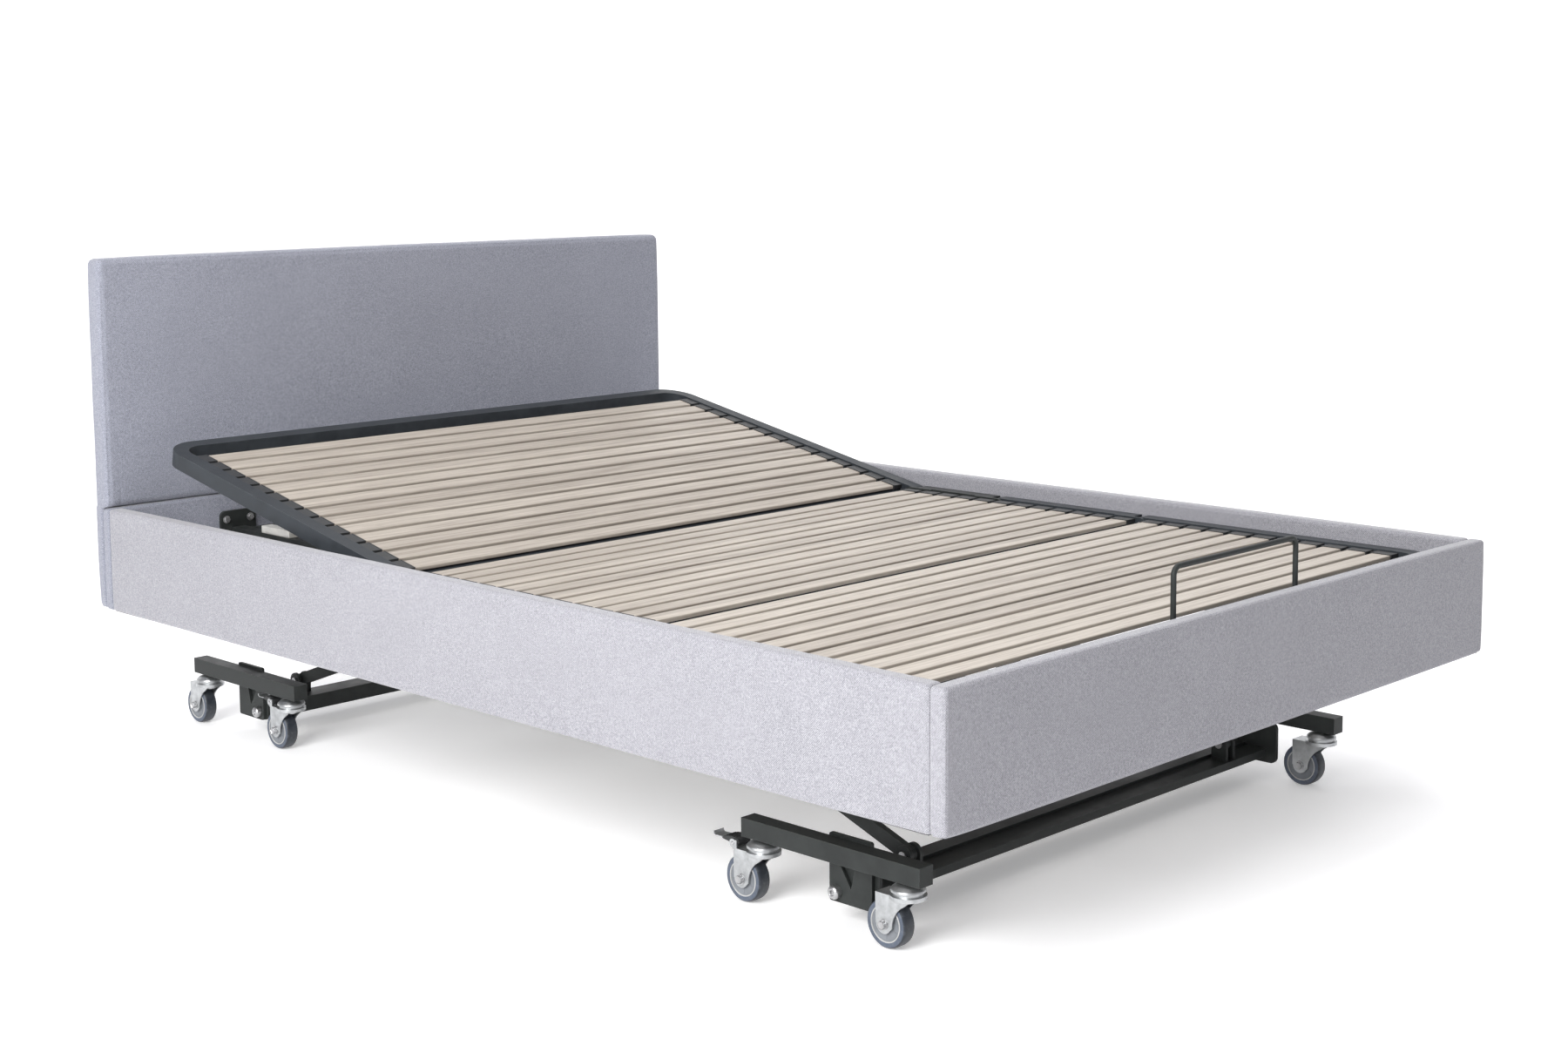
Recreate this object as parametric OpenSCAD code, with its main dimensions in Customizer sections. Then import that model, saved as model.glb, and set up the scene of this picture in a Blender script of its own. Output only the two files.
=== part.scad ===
// Adjustable bed base: an upholstered surround and headboard around a steel
// frame that rises on two hinged legs, with a jointed slatted deck and castors.
// Millimetres. Origin on the floor under the middle of the bed.
// +X to the right seen from the foot, +Y towards the headboard, +Z up.

/* [Surround] */
// Overall width over the side panels
bed_width = 1490; // [1440:10:1600]
// Overall length from the foot panel to the back of the headboard
bed_length = 2224; // [2216:2:2240]
// Top edge of the headboard above the floor
headboard_top = 957; // [800:1:1150]
// Lower edge of the surround panels above the floor
panel_bottom = 255; // [245:1:262]
// Height of the surround panels
panel_height = 205; // [200:1:215]
// Thickness of the foot panel
foot_panel_t = 29; // [24:1:32]
// Thickness of each side panel
side_panel_t = 30; // [24:1:36]
// Thickness of the lower head panel
head_panel_t = 24; // [20:1:30]
// Thickness of the headboard above the surround
headboard_t = 50; // [44:1:56]
// Thickness of foam and fabric over each board
wrap_t = 6; // [4:0.5:8]
// Gap between the headboard and the top of the lower head panel
headboard_seam = 1.5; // [1:0.5:3]

/* [Deck] */
// Width of the slatted deck
deck_width = 1380; // [1340:10:1390]
// Height of the deck when it lies flat
deck_top = 435; // [430:1:440]
// Size of the square tube in the deck sections
deck_tube = 30; // [28:1:32]
// Outer radius of the rounded deck corners
deck_corner = 70; // [50:5:90]
// Position of the foot end of the deck
deck_foot_y = -1060; // [-1062:1:-1050]
// Length of the foot section
foot_length = 630; // [620:5:640]
// Length of the thigh section
thigh_length = 360; // [350:5:370]
// Length of the fixed seat section
seat_length = 240; // [235:5:250]
// Length of the head section
head_length = 800; // [780:5:810]
// Angle of the head section as it stands
head_rest_tilt = 11.5; // [5:0.5:15]
// Width of one slat
slat_w = 38; // [30:1:40]
// Thickness of one slat
slat_t = 8; // [6:1:10]
// Distance from slat to slat
slat_pitch = 50; // [48:1:60]
// Diameter of the mattress retainer's rod
retainer_d = 9; // [7:0.5:9]
// Width of the mattress retainer between the rod's centres
retainer_w = 343; // [280:1:400]
// Top of the mattress retainer above the floor
retainer_top = 540; // [500:5:560]

/* [Lift] */
// Length of a lift arm from pivot to pivot
arm_length = 550; // [545:1:560]
// Slope of the lift arms as the bed stands
arm_slope = 20; // [19:0.5:21]
// Height of the arms' lower pivots
arm_low_z = 88; // [86:1:92]
// Depth of a lift arm
arm_depth = 24; // [22:1:34]
// Thickness of a lift arm
arm_t = 12; // [10:1:14]
// Length of the levers that the lift actuators push
lift_lever = 90; // [85:1:92]
// Length of the levers that lift the deck sections
deck_lever = 94; // [90:1:96]

/* [Base] */
// Length of the tube that carries two castors
skate_length = 364; // [356:2:370]
// Width and height of that tube
skate_tube = 30; // [28:1:32]
// Distance from the middle of the bed to its outer face
skate_x = 585; // [580:1:590]
// Distance from the tube's middle to each castor's swivel axis
castor_reach = 148; // [146:1:150]

/* [Castors] */
// Diameter of a castor wheel
wheel_d = 75; // [72:1:76]
// Width of a castor wheel
wheel_w = 25; // [22:1:26]
// Distance from the swivel axis to the wheel's axle
castor_trail = 34; // [30:1:35]
// Height of a castor up to the tube it hangs from
castor_h = 106; // [105:1:108]

/* [Hidden] */
$fn = 48;
bx = bed_width / 2;
by = bed_length / 2;
panel_top = panel_bottom + panel_height;
head_face_y = by - headboard_t;
head_back_y = head_face_y + head_panel_t;
side_in_x = bx - side_panel_t;
foot_in_y = -by + foot_panel_t;

// Deck
knee_y = deck_foot_y + foot_length;
thigh_y = knee_y + thigh_length;
seat_y = thigh_y + seat_length;
head_end_y = seat_y + head_length;
deck_x = deck_width / 2;
deck_in_x = deck_x - deck_tube;
hinge_z = deck_top - deck_tube / 2;
deck_z0 = deck_top - deck_tube;
deck_wall = 2;
cross_h = 15;
slat_z = deck_z0 + 18;
slat_start = 20;
ear_t = 6;
hinge_gap = 0.5;
short_slat = deck_in_x - ear_t - hinge_gap;
pin_r = 6;
run_gap = 0.05;
hinge_block = 18;
retainer_y = deck_foot_y - 14;

// Main frame
rail_x = 455;
rail_w = 30;
rail_h = 50;
rail_z1 = deck_z0 - 15;
rail_z0 = rail_z1 - rail_h;
rail_wall = 2.5;
rail_foot_y = deck_foot_y + 5;
rail_head_y = head_face_y - 6;
glide_gap = 0.3;

// Lift legs
arm_x = 432;
arm_run = arm_length * cos(arm_slope);
arm_rise = arm_length * sin(arm_slope);
arm_high_z = arm_low_z + arm_rise;
torque_r = 17;
lift_pin_r = 8;
low_pin_r = 7;
lug_t = 6;
lever_t = 10;
lever_root = 4;
lever_w = 24;
lever_pin_r = 5;
// Angle above rest at which a lift lever hangs straight down
lift_mid = 9.5;

// Base, with distances outboard of the skate bolt
foot_bolt_y = -738;
head_bolt_y = 842;
bolt_z = 51;
bolt_r = 6;
beam_half = 17;
beam_z0 = 36;
beam_z1 = 66;
ledge_out = 60;
ledge_z1 = 60;
ledge_t = 3;
ledge_lip = 14;
arm_out = 37;
skate_out = 8;
end_plate_in = -20;
end_plate_out = 80;
end_plate_z0 = 34;
end_plate_z1 = 110;
end_plate_t = 7;
end_plate_corner = 12;
bracket_t = 6;
bracket_in = -15;
bracket_out = 71;
bracket_z0 = 35;
bracket_rise = 5;
skate_in_x = skate_x - skate_tube;
skate_z0 = castor_h;
skate_z1 = castor_h + skate_tube;
beam_x = skate_in_x - bracket_t - 1 - end_plate_t;
castor_x = skate_x - skate_tube / 2;

// Actuators, measured from the rear pin
act_lug = 20;
act_box_l = 72;
act_box_half = 30;
act_box_w = 62;
act_lug_half = 7;
motor_l = 95;
motor_x = 38;
motor_r = 22;
act_tube_r = 17;
act_tube_end = 285;
act_rod_r = 10;
act_rod_start = 170;
act_clevis = 34;
act_reach = 339;
lift_reach = 350;
act_x = 110;
clevis_slack = 1.5;

// Levers: angle from straight down at rest, and the tip's place
head_lever_a = -19.25;
thigh_lever_a = 17.5;
head_tip_y = seat_y + deck_lever * sin(head_lever_a);
thigh_tip_y = thigh_y + deck_lever * sin(thigh_lever_a);
head_act_z = hinge_z - deck_lever * (1 + cos(30.75)) / 2;
thigh_act_z = hinge_z - deck_lever * (1 + cos(thigh_lever_a)) / 2;
head_act_y = head_tip_y - act_reach;
thigh_act_y = thigh_tip_y + act_reach;
foot_low_y = foot_bolt_y - arm_out;
head_low_y = head_bolt_y + arm_out;
foot_high_y = foot_low_y + arm_run;
head_high_y = head_low_y - arm_run;
lift_act_z = arm_high_z - lift_lever * (1 + cos(20.5)) / 2;
foot_act_y = foot_high_y - lift_lever * sin(lift_mid) - lift_reach;
head_act2_y = head_high_y + lift_lever * sin(lift_mid) + lift_reach;

// Castors: end is -1 for the foot and 1 for the head; out is 1 for the castor at the
// end of the bed and -1 for the one nearer the middle
function bolt_y(end) = end < 0 ? foot_bolt_y : head_bolt_y;
function skate_y(end) = bolt_y(end) + end * skate_out;
function castor_y(end, out) = skate_y(end) + end * out * castor_reach;
pedal_y = 52;
pedal_z = 91;
pedal_pin_r = 3;
pedal_reach = 100;
fork_gap = wheel_w / 2 + 1.5;
fork_t = 2.5;
crown_z = 82;
axle_r = 4;
king_r = 6;

// ---------- shared shapes ----------

// Box between two corners
module bar(x, y, z) {
    translate([x[0], y[0], z[0]]) cube([x[1] - x[0], y[1] - y[0], z[1] - z[0]]);
}

// The same thing on both sides of the bed
module both_sides() {
    children();
    mirror([1, 0, 0]) children();
}

// Round bar along X
module rod_x(x, y, z, r) {
    translate([x[0], y, z]) rotate([0, 90, 0]) cylinder(h = x[1] - x[0], r = r);
}

// Round bar along Y
module rod_y(y, x, z, r) {
    translate([x, y[0], z]) rotate([-90, 0, 0]) cylinder(h = y[1] - y[0], r = r);
}

// Rectangular tube along X, w deep and h high, with its middle at y and z
module tube_x(x, y, z, w, h, t) {
    difference() {
        bar(x, [y - w / 2, y + w / 2], [z - h / 2, z + h / 2]);
        bar([x[0] - 1, x[1] + 1], [y - w / 2 + t, y + w / 2 - t], [z - h / 2 + t, z + h / 2 - t]);
    }
}

// Rectangular tube along Y, w wide and h high, with its middle at x and z
module tube_y(y, x, z, w, h, t) {
    difference() {
        bar([x - w / 2, x + w / 2], y, [z - h / 2, z + h / 2]);
        bar([x - w / 2 + t, x + w / 2 - t], [y[0] - 1, y[1] + 1], [z - h / 2 + t, z + h / 2 - t]);
    }
}

// Flat plate in the YZ plane with round corners
module plate_yz(x, y, z, r) {
    bar(x, [y[0] + r, y[1] - r], z);
    bar(x, y, [z[0] + r, z[1] - r]);
    for (yy = [y[0] + r, y[1] - r], zz = [z[0] + r, z[1] - r]) rod_x(x, yy, zz, r);
}

// Flat plate in the XZ plane with round corners
module plate_xz(x, y, z, r) {
    bar([x[0] + r, x[1] - r], y, z);
    bar(x, y, [z[0] + r, z[1] - r]);
    for (xx = [x[0] + r, x[1] - r], zz = [z[0] + r, z[1] - r]) rod_y(y, xx, zz, r);
}

// Everything that tilts with the head section, drawn flat
module at_head_tilt() {
    translate([0, seat_y, hinge_z]) rotate([head_rest_tilt, 0, 0])
        translate([0, -seat_y, -hinge_z]) children();
}

// ---------- upholstered surround ----------

// Hollow padded cover around a board
module cover(x, y, z) {
    difference() {
        bar(x, y, z);
        bar([x[0] + wrap_t, x[1] - wrap_t], [y[0] + wrap_t, y[1] - wrap_t],
            [z[0] + wrap_t, z[1] - wrap_t]);
    }
}

// The board inside that cover
module board(x, y, z) {
    bar([x[0] + wrap_t, x[1] - wrap_t], [y[0] + wrap_t, y[1] - wrap_t],
        [z[0] + wrap_t, z[1] - wrap_t]);
}

panel_z = [panel_bottom, panel_top];
foot_panel_y = [-by, foot_in_y];
side_panel_y = [foot_in_y, head_face_y];
head_panel_y = [head_face_y, head_back_y];

module foot_panel() {
    color("silver") cover([-bx, bx], foot_panel_y, panel_z);
}

module head_panel() {
    color("silver") cover([-bx, bx], head_panel_y, panel_z);
}

module left_side_panel() {
    color("silver") cover([-bx, -side_in_x], side_panel_y, panel_z);
}

module right_side_panel() {
    color("silver") cover([side_in_x, bx], side_panel_y, panel_z);
}

// Outline of the headboard seen from the side, inset by d
module headboard_shape(d) {
    bar([-bx + d, bx - d], [head_back_y + d, by - d], [panel_bottom + d, headboard_top - d]);
    bar([-bx + d, bx - d], [head_face_y + d, by - d],
        [panel_top + headboard_seam + d, headboard_top - d]);
}

module headboard_cover() {
    color("silver") difference() {
        headboard_shape(0);
        headboard_shape(wrap_t);
    }
}

module panel_boards() {
    color("tan") {
        board([-bx, bx], foot_panel_y, panel_z);
        board([-bx, bx], head_panel_y, panel_z);
        board([-bx, -side_in_x], side_panel_y, panel_z);
        board([side_in_x, bx], side_panel_y, panel_z);
        headboard_shape(wrap_t);
    }
}

// ---------- main frame ----------

outrigger_ys = [-760, -60, 640];
outrigger_z = rail_z0 + 20;
outrigger_size = 30;
corner_leg = 40;
end_plate_half = 42;
end_plate_low = rail_z0 - 2;
end_plate_high = panel_top - 35;
plate_t = 6;

// Cheek plates that hang below a rail and hold a leg's upper pivot
module pivot_cheek(y) {
    both_sides() difference() {
        union() {
            bar([rail_x - 13, rail_x - 5], [y - 35, y + 35], [arm_high_z, rail_z0 + rail_wall / 2]);
            rod_x([rail_x - 13, rail_x - 5], y, arm_high_z, 26);
        }
        rod_x([rail_x - 20, rail_x], y, arm_high_z, lift_pin_r);
    }
}

// Two plates under a cross member that hold an actuator's rear pin
module actuator_hanger(x, y, z) {
    for (s = [-1, 1]) difference() {
        union() {
            bar([x + s * 13 - 3, x + s * 13 + 3], [y - 14, y + 14], [z, rail_z0]);
            rod_x([x + s * 13 - 3, x + s * 13 + 3], y, z, 14);
        }
        rod_x([x + s * 13 - 4, x + s * 13 + 4], y, z, lever_pin_r);
    }
}

// Ear beside a deck tube that reaches from from_y to the pin at pin_y
module hinge_ear(from_y, pin_y) {
    both_sides() difference() {
        union() {
            bar([deck_in_x - ear_t, deck_in_x], [min(from_y, pin_y), max(from_y, pin_y)],
                [deck_z0, deck_top]);
            rod_x([deck_in_x - ear_t, deck_in_x], pin_y, hinge_z, deck_tube / 2);
        }
        rod_x([deck_in_x - ear_t - 1, deck_in_x + 1], pin_y, hinge_z, pin_r);
    }
}

seat_cross_ys = [thigh_y + 60, seat_y - 60];

module seat_frame() {
    both_sides() tube_y([thigh_y + hinge_block, seat_y - hinge_block], deck_x - deck_tube / 2,
        hinge_z, deck_tube, deck_tube, deck_wall);
    for (y = seat_cross_ys) {
        tube_x([-deck_in_x, deck_in_x], y, deck_z0 + cross_h / 2, deck_tube, cross_h, deck_wall);
        both_sides() bar([rail_x - rail_w / 2, rail_x + rail_w / 2],
            [y - deck_tube / 2, y + deck_tube / 2], [rail_z1, deck_z0]);
    }
    hinge_ear(thigh_y + 60, thigh_y);
    hinge_ear(seat_y - 60, seat_y);
}

module main_frame() {
    color("dimgray") {
        both_sides() {
            tube_y([rail_foot_y, rail_head_y], rail_x, (rail_z0 + rail_z1) / 2, rail_w, rail_h, rail_wall);
            for (y = outrigger_ys) tube_x([rail_x + rail_w / 2, side_in_x - 4], y, outrigger_z,
                outrigger_size, outrigger_size, deck_wall);
        }
        for (y = [rail_foot_y + 20, foot_act_y, head_act_y, thigh_act_y, head_act2_y, rail_head_y - 40])
            tube_x([-rail_x + rail_w / 2, rail_x - rail_w / 2], y, (rail_z0 + rail_z1) / 2, rail_w,
                rail_h, rail_wall);
        pivot_cheek(foot_high_y);
        pivot_cheek(head_high_y);
        actuator_hanger(act_x, head_act_y, head_act_z);
        actuator_hanger(-act_x, thigh_act_y, thigh_act_z);
        actuator_hanger(0, foot_act_y, lift_act_z);
        actuator_hanger(0, head_act2_y, lift_act_z);
        seat_frame();
    }
}

// Plates and angles that carry the panels
module panel_brackets() {
    color("black") {
        both_sides() {
            plate_xz([rail_x - end_plate_half, rail_x + end_plate_half],
                [rail_head_y, head_face_y], [end_plate_low, end_plate_high], 12);
            plate_xz([rail_x - end_plate_half, rail_x + end_plate_half],
                [foot_in_y, foot_in_y + plate_t], [end_plate_low, rail_z1 - 4], 10);
            bar([rail_x - 12, rail_x + 12], [foot_in_y + plate_t, rail_foot_y],
                [rail_z0, rail_z0 + plate_t]);
            for (y = outrigger_ys) plate_yz([side_in_x - 4, side_in_x], [y - 35, y + 35],
                [outrigger_z - 28, outrigger_z + 28], 8);
            corner_bracket(head_face_y, -1);
            corner_bracket(foot_in_y, 1);
        }
    }
}

// Small angle in a corner of the surround: face_y is the end panel's inner face
module corner_bracket(face_y, way) {
    z = [panel_top - 58, panel_top - 18];
    far_y = face_y + way * corner_leg;
    near_y = face_y + way * 4;
    bar([side_in_x - 4, side_in_x], [min(face_y, far_y), max(face_y, far_y)], z);
    bar([side_in_x - corner_leg, side_in_x - 4], [min(face_y, near_y), max(face_y, near_y)], z);
}

// Hexagon-headed bolt head with its washer, pointing along Y
module bolt_head_y(x, y, z, way) {
    y0 = way > 0 ? y : y - 6;
    rod_y([way > 0 ? y : y - 1.5, way > 0 ? y + 1.5 : y], x, z, 8);
    translate([x, y0, z]) rotate([-90, 0, 0]) cylinder(h = 6, r = 6, $fn = 6);
}

// Hexagon-headed bolt head with its washer, pointing along X towards the middle
module bolt_head_x(x, y, z) {
    rod_x([x - 1.5, x], y, z, 8);
    translate([x - 6, y, z]) rotate([0, 90, 0]) cylinder(h = 6, r = 6, $fn = 6);
}

module panel_bolts() {
    color("gray") both_sides() {
        for (s = [-1, 1]) {
            bolt_head_y(rail_x + s * 28, rail_head_y, end_plate_high - 18, -1);
            bolt_head_y(rail_x + s * 28, foot_in_y + plate_t, rail_z0 + 22, 1);
        }
        for (y = outrigger_ys, s = [-1, 1]) bolt_head_x(side_in_x - 4, y + s * 24, outrigger_z);
        bolt_head_x(side_in_x - 4, head_face_y - 26, panel_top - 38);
        bolt_head_x(side_in_x - 4, foot_in_y + 26, panel_top - 38);
    }
}

// Control box in the head half of the frame, with a mains inlet in its left end
box_x = [-110, 110];
box_y = [head_act2_y - rail_w / 2 - 110, head_act2_y - rail_w / 2];
box_z = [rail_z0 - 2, rail_z0 + 44];
inlet_depth = 16;

module control_box() {
    my = (box_y[0] + box_y[1]) / 2;
    mz = (box_z[0] + box_z[1]) / 2;
    color("black") {
        difference() {
            bar(box_x, box_y, box_z);
            bar([box_x[0] - 1, box_x[0] + inlet_depth], [my - 13.5, my + 13.5], [mz - 10, mz + 10]);
        }
        for (d = [-7, 0, 7]) bar([box_x[0] + 3, box_x[0] + inlet_depth],
            [my + d - 1, my + d + 1], [mz - 2, mz + 3]);
    }
}

// Pins of the deck hinges, the legs' upper pivots and the actuators' rear lugs
module pivot_pins() {
    color("silver") {
        both_sides() {
            for (y = [thigh_y, seat_y]) hinge_pin(y);
            for (y = [foot_high_y, head_high_y]) {
                rod_x([arm_x - 8, rail_x - 3], y, arm_high_z, lift_pin_r);
                rod_x([rail_x - 5, rail_x], y, arm_high_z, lift_pin_r + 5);
            }
        }
        rear_pin(act_x, head_act_y, head_act_z);
        rear_pin(-act_x, thigh_act_y, thigh_act_z);
        rear_pin(0, foot_act_y, lift_act_z);
        rear_pin(0, head_act2_y, lift_act_z);
    }
}

module hinge_pin(y) {
    rod_x([deck_in_x - ear_t, deck_x - 2], y, hinge_z, pin_r);
}

module rear_pin(x, y, z) {
    rod_x([x - 20, x + 20], y, z, lever_pin_r);
}

glide_ys = [[rail_foot_y + 5, rail_foot_y + 140], [head_end_y - 120, head_end_y - 20]];

// Nylon strips on the rails under the deck's ends
module deck_glides() {
    color("ivory") both_sides() for (y = glide_ys)
        bar([rail_x - 12, rail_x + 12], y, [rail_z1, deck_z0 - glide_gap]);
}

// ---------- deck sections ----------

module tube_profile() {
    difference() {
        square(deck_tube, center = true);
        square(deck_tube - 2 * deck_wall, center = true);
    }
}

// Quarter bend of deck tube from +X to +Y about a centre
module deck_bend(x, y, turn) {
    translate([x, y, hinge_z]) rotate([0, 0, turn]) rotate_extrude(angle = 90)
        translate([deck_corner - deck_tube / 2, 0]) tube_profile();
}

// Side tubes with solid round ends that turn on the pins at pin_y
module side_tubes(pin_y, far_y) {
    way = far_y > pin_y ? 1 : -1;
    block_y = pin_y + way * hinge_block;
    both_sides() difference() {
        union() {
            tube_y([min(block_y, far_y), max(block_y, far_y)], deck_x - deck_tube / 2, hinge_z,
                deck_tube, deck_tube, deck_wall);
            bar([deck_in_x + hinge_gap, deck_x], [min(pin_y, block_y), max(pin_y, block_y)],
                [deck_z0, deck_top]);
            rod_x([deck_in_x + hinge_gap, deck_x], pin_y, hinge_z, deck_tube / 2);
        }
        rod_x([deck_in_x - 1, deck_x + 1], pin_y, hinge_z, pin_r + run_gap);
    }
}

module deck_cross(y) {
    tube_x([-deck_in_x, deck_in_x], y, deck_z0 + cross_h / 2, deck_tube, cross_h, deck_wall);
}

// Row of slats between y0 and y1 that reach half_w to each side
module slats(y0, y1, half_w) {
    n = floor((y1 - y0 - slat_w) / slat_pitch);
    start = (y0 + y1) / 2 - n * slat_pitch / 2;
    for (i = [0:n]) bar([-half_w, half_w],
        [start + i * slat_pitch - slat_w / 2, start + i * slat_pitch + slat_w / 2],
        [slat_z, slat_z + slat_t]);
}

// Lever plate from a cross tube down to its pin, at an angle from straight down
module deck_lever_plate(x, hinge_y, a) {
    translate([x, hinge_y, hinge_z]) rotate([a, 0, 0]) {
        bar([-lever_t / 2, lever_t / 2], [-lever_w / 2, lever_w / 2], [-deck_lever, -26]);
        rod_x([-lever_t / 2, lever_t / 2], 0, -deck_lever, lever_w / 2);
        rod_x([-15, 15], 0, -deck_lever, lever_pin_r);
    }
}

module head_section_frame() {
    y = seat_y + 40;
    color("darkslategray") at_head_tilt() {
        side_tubes(seat_y, head_end_y - deck_corner);
        both_sides() deck_bend(deck_x - deck_corner, head_end_y - deck_corner, 0);
        tube_x([-deck_x + deck_corner, deck_x - deck_corner], head_end_y - deck_tube / 2, hinge_z,
            deck_tube, deck_tube, deck_wall);
        deck_cross(y);
        deck_cross((seat_y + head_end_y) / 2);
        deck_lever_plate(act_x, seat_y, head_lever_a - head_rest_tilt);
        bar([act_x - lever_root, act_x + lever_root], [seat_y - 10, y + 10], [deck_z0 - 22, deck_z0 + 2]);
    }
}

module head_slats() {
    color("burlywood") at_head_tilt() slats(seat_y + slat_start, head_end_y - deck_corner, deck_in_x);
}

module seat_slats() {
    color("burlywood") slats(thigh_y, seat_y, short_slat);
}

module thigh_frame() {
    y = thigh_y - 40;
    color("darkslategray") {
        side_tubes(thigh_y, knee_y + hinge_block);
        deck_cross(y);
        deck_cross(knee_y + 45);
        hinge_ear(knee_y + 60, knee_y);
        deck_lever_plate(-act_x, thigh_y, thigh_lever_a);
        bar([-act_x - lever_root, -act_x + lever_root], [y - 10, thigh_y + 2], [deck_z0 - 22, deck_z0 + 2]);
    }
}

module thigh_slats() {
    color("burlywood") slats(knee_y + slat_start / 2, thigh_y - slat_start / 2, short_slat);
}

module knee_pins() {
    color("silver") both_sides() hinge_pin(knee_y);
}

module foot_section_frame() {
    color("darkslategray") {
        side_tubes(knee_y, deck_foot_y + deck_corner);
        both_sides() deck_bend(deck_x - deck_corner, deck_foot_y + deck_corner, -90);
        tube_x([-deck_x + deck_corner, deck_x - deck_corner], deck_foot_y + deck_tube / 2, hinge_z,
            deck_tube, deck_tube, deck_wall);
        deck_cross(knee_y - 45);
        deck_cross((knee_y + deck_foot_y) / 2);
    }
}

module foot_slats() {
    color("burlywood") slats(deck_foot_y + deck_corner, knee_y - hinge_block, deck_in_x);
}

// Bent rod at the foot end that keeps the mattress in place
module mattress_retainer() {
    bend = 14;
    r = retainer_d / 2;
    x = retainer_w / 2;
    color("black") both_sides() {
        translate([x, retainer_y, deck_z0 + 2]) cylinder(h = retainer_top - r - bend - deck_z0 - 2, r = r);
        translate([x - bend, retainer_y, retainer_top - r - bend]) rotate([90, 0, 0])
            rotate_extrude(angle = 90) translate([bend, 0]) circle(r = r);
        rod_x([0, x - bend], retainer_y, retainer_top - r, r);
        for (z = [deck_z0 + 8, deck_top - 8])
            bar([x - 4, x + 4], [retainer_y + r - 1, deck_foot_y], [z - 3, z + 3]);
    }
}

// ---------- actuators ----------

// Housing of an actuator lying along +Y with its rear pin at the origin
module actuator_housing() {
    color("gray") difference() {
        union() {
            bar([-8, 8], [-12, act_lug + 1], [-act_lug_half, act_lug_half]);
            bar([-act_box_half, act_box_w], [act_lug, act_lug + act_box_l], [-act_box_half, act_box_half]);
            rod_y([act_lug + act_box_l, act_tube_end], 0, 0, act_tube_r);
            rod_y([act_lug + act_box_l, act_lug + act_box_l + motor_l], motor_x, 0, motor_r);
        }
        rod_x([-9, 9], 0, 0, lever_pin_r + run_gap);
        rod_y([act_lug + act_box_l + 5, act_tube_end + 1], 0, 0, act_rod_r + run_gap);
    }
}

// Rod of an actuator with the slotted clevis that pushes a lever's pin
module actuator_rod(reach, dz, play) {
    hole = lever_pin_r + clevis_slack;
    color("silver") {
        rod_y([act_rod_start, reach - act_clevis], 0, dz, act_rod_r);
        difference() {
            bar([-15, 15], [reach - act_clevis, reach + 13], [dz - play - 13, dz + play + 13]);
            bar([-9, 9], [reach - act_clevis + 8, reach + 14], [dz - play - 14, dz + play + 14]);
            for (z = [dz - play, dz + play]) rod_x([-16, 16], reach, z, hole);
            bar([-16, 16], [reach - hole, reach + hole], [dz - play, dz + play]);
        }
    }
}

play_head = 6.7;
play_thigh = 2.8;
play_lift = 3.4;

module head_actuator() {
    translate([act_x, head_act_y, head_act_z]) actuator_housing();
}

module head_actuator_rod() {
    translate([act_x, head_act_y, head_act_z]) actuator_rod(act_reach, 0, play_head);
}

module thigh_actuator() {
    translate([-act_x, thigh_act_y, thigh_act_z]) rotate([0, 0, 180]) actuator_housing();
}

module thigh_actuator_rod() {
    translate([-act_x, thigh_act_y, thigh_act_z]) rotate([0, 0, 180])
        actuator_rod(act_reach, 0, play_thigh);
}

module foot_lift_actuator() {
    translate([0, foot_act_y, lift_act_z]) actuator_housing();
}

module foot_lift_rod() {
    translate([0, foot_act_y, lift_act_z]) actuator_rod(lift_reach, 0, play_lift);
}

module head_lift_actuator() {
    translate([0, head_act2_y, lift_act_z]) rotate([0, 0, 180]) actuator_housing();
}

module head_lift_rod() {
    translate([0, head_act2_y, lift_act_z]) rotate([0, 0, 180]) actuator_rod(lift_reach, 0, play_lift);
}

// ---------- lift legs ----------

// Leg with its upper pivot at high_y; end is -1 for the foot and 1 for the head
module leg(high_y, end) {
    translate([0, high_y, arm_high_z]) {
        difference() {
            union() {
                both_sides() rotate([end * -arm_slope, 0, 0]) {
                    bar([arm_x - arm_t / 2, arm_x + arm_t / 2],
                        [end < 0 ? -arm_length : 0, end < 0 ? 0 : arm_length],
                        [-arm_depth / 2, arm_depth / 2]);
                    rod_x([arm_x - arm_t / 2, arm_x + arm_t / 2], 0, 0, torque_r + 3);
                    rod_x([arm_x - arm_t / 2, arm_x + arm_t / 2], end * arm_length, 0, arm_depth / 2);
                }
                rod_x([-arm_x, arm_x], 0, 0, torque_r);
                rotate([end * lift_mid, 0, 0]) {
                    bar([-lever_t / 2, lever_t / 2], [-lever_w / 2, lever_w / 2], [-lift_lever, 0]);
                    rod_x([-lever_t / 2, lever_t / 2], 0, -lift_lever, lever_w / 2);
                    rod_x([-15, 15], 0, -lift_lever, lever_pin_r);
                }
            }
            both_sides() {
                rod_x([arm_x - 40, arm_x + 10], 0, 0, lift_pin_r + run_gap);
                rotate([end * -arm_slope, 0, 0])
                    rod_x([arm_x - 10, arm_x + 10], end * arm_length, 0, low_pin_r + run_gap);
            }
            rod_x([-arm_x + 60, -30], 0, 0, torque_r - 3);
            rod_x([30, arm_x - 60], 0, 0, torque_r - 3);
        }
    }
}

module foot_leg() {
    color("black") leg(foot_high_y, -1);
}

module head_leg() {
    color("black") leg(head_high_y, 1);
}

// ---------- bases ----------

// Moves a shape drawn with Y measured outboard of the skate bolt into place
module at_base(end) {
    translate([0, bolt_y(end), 0]) mirror([0, end < 0 ? 1 : 0, 0]) children();
}

lug_half = 16;

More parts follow.
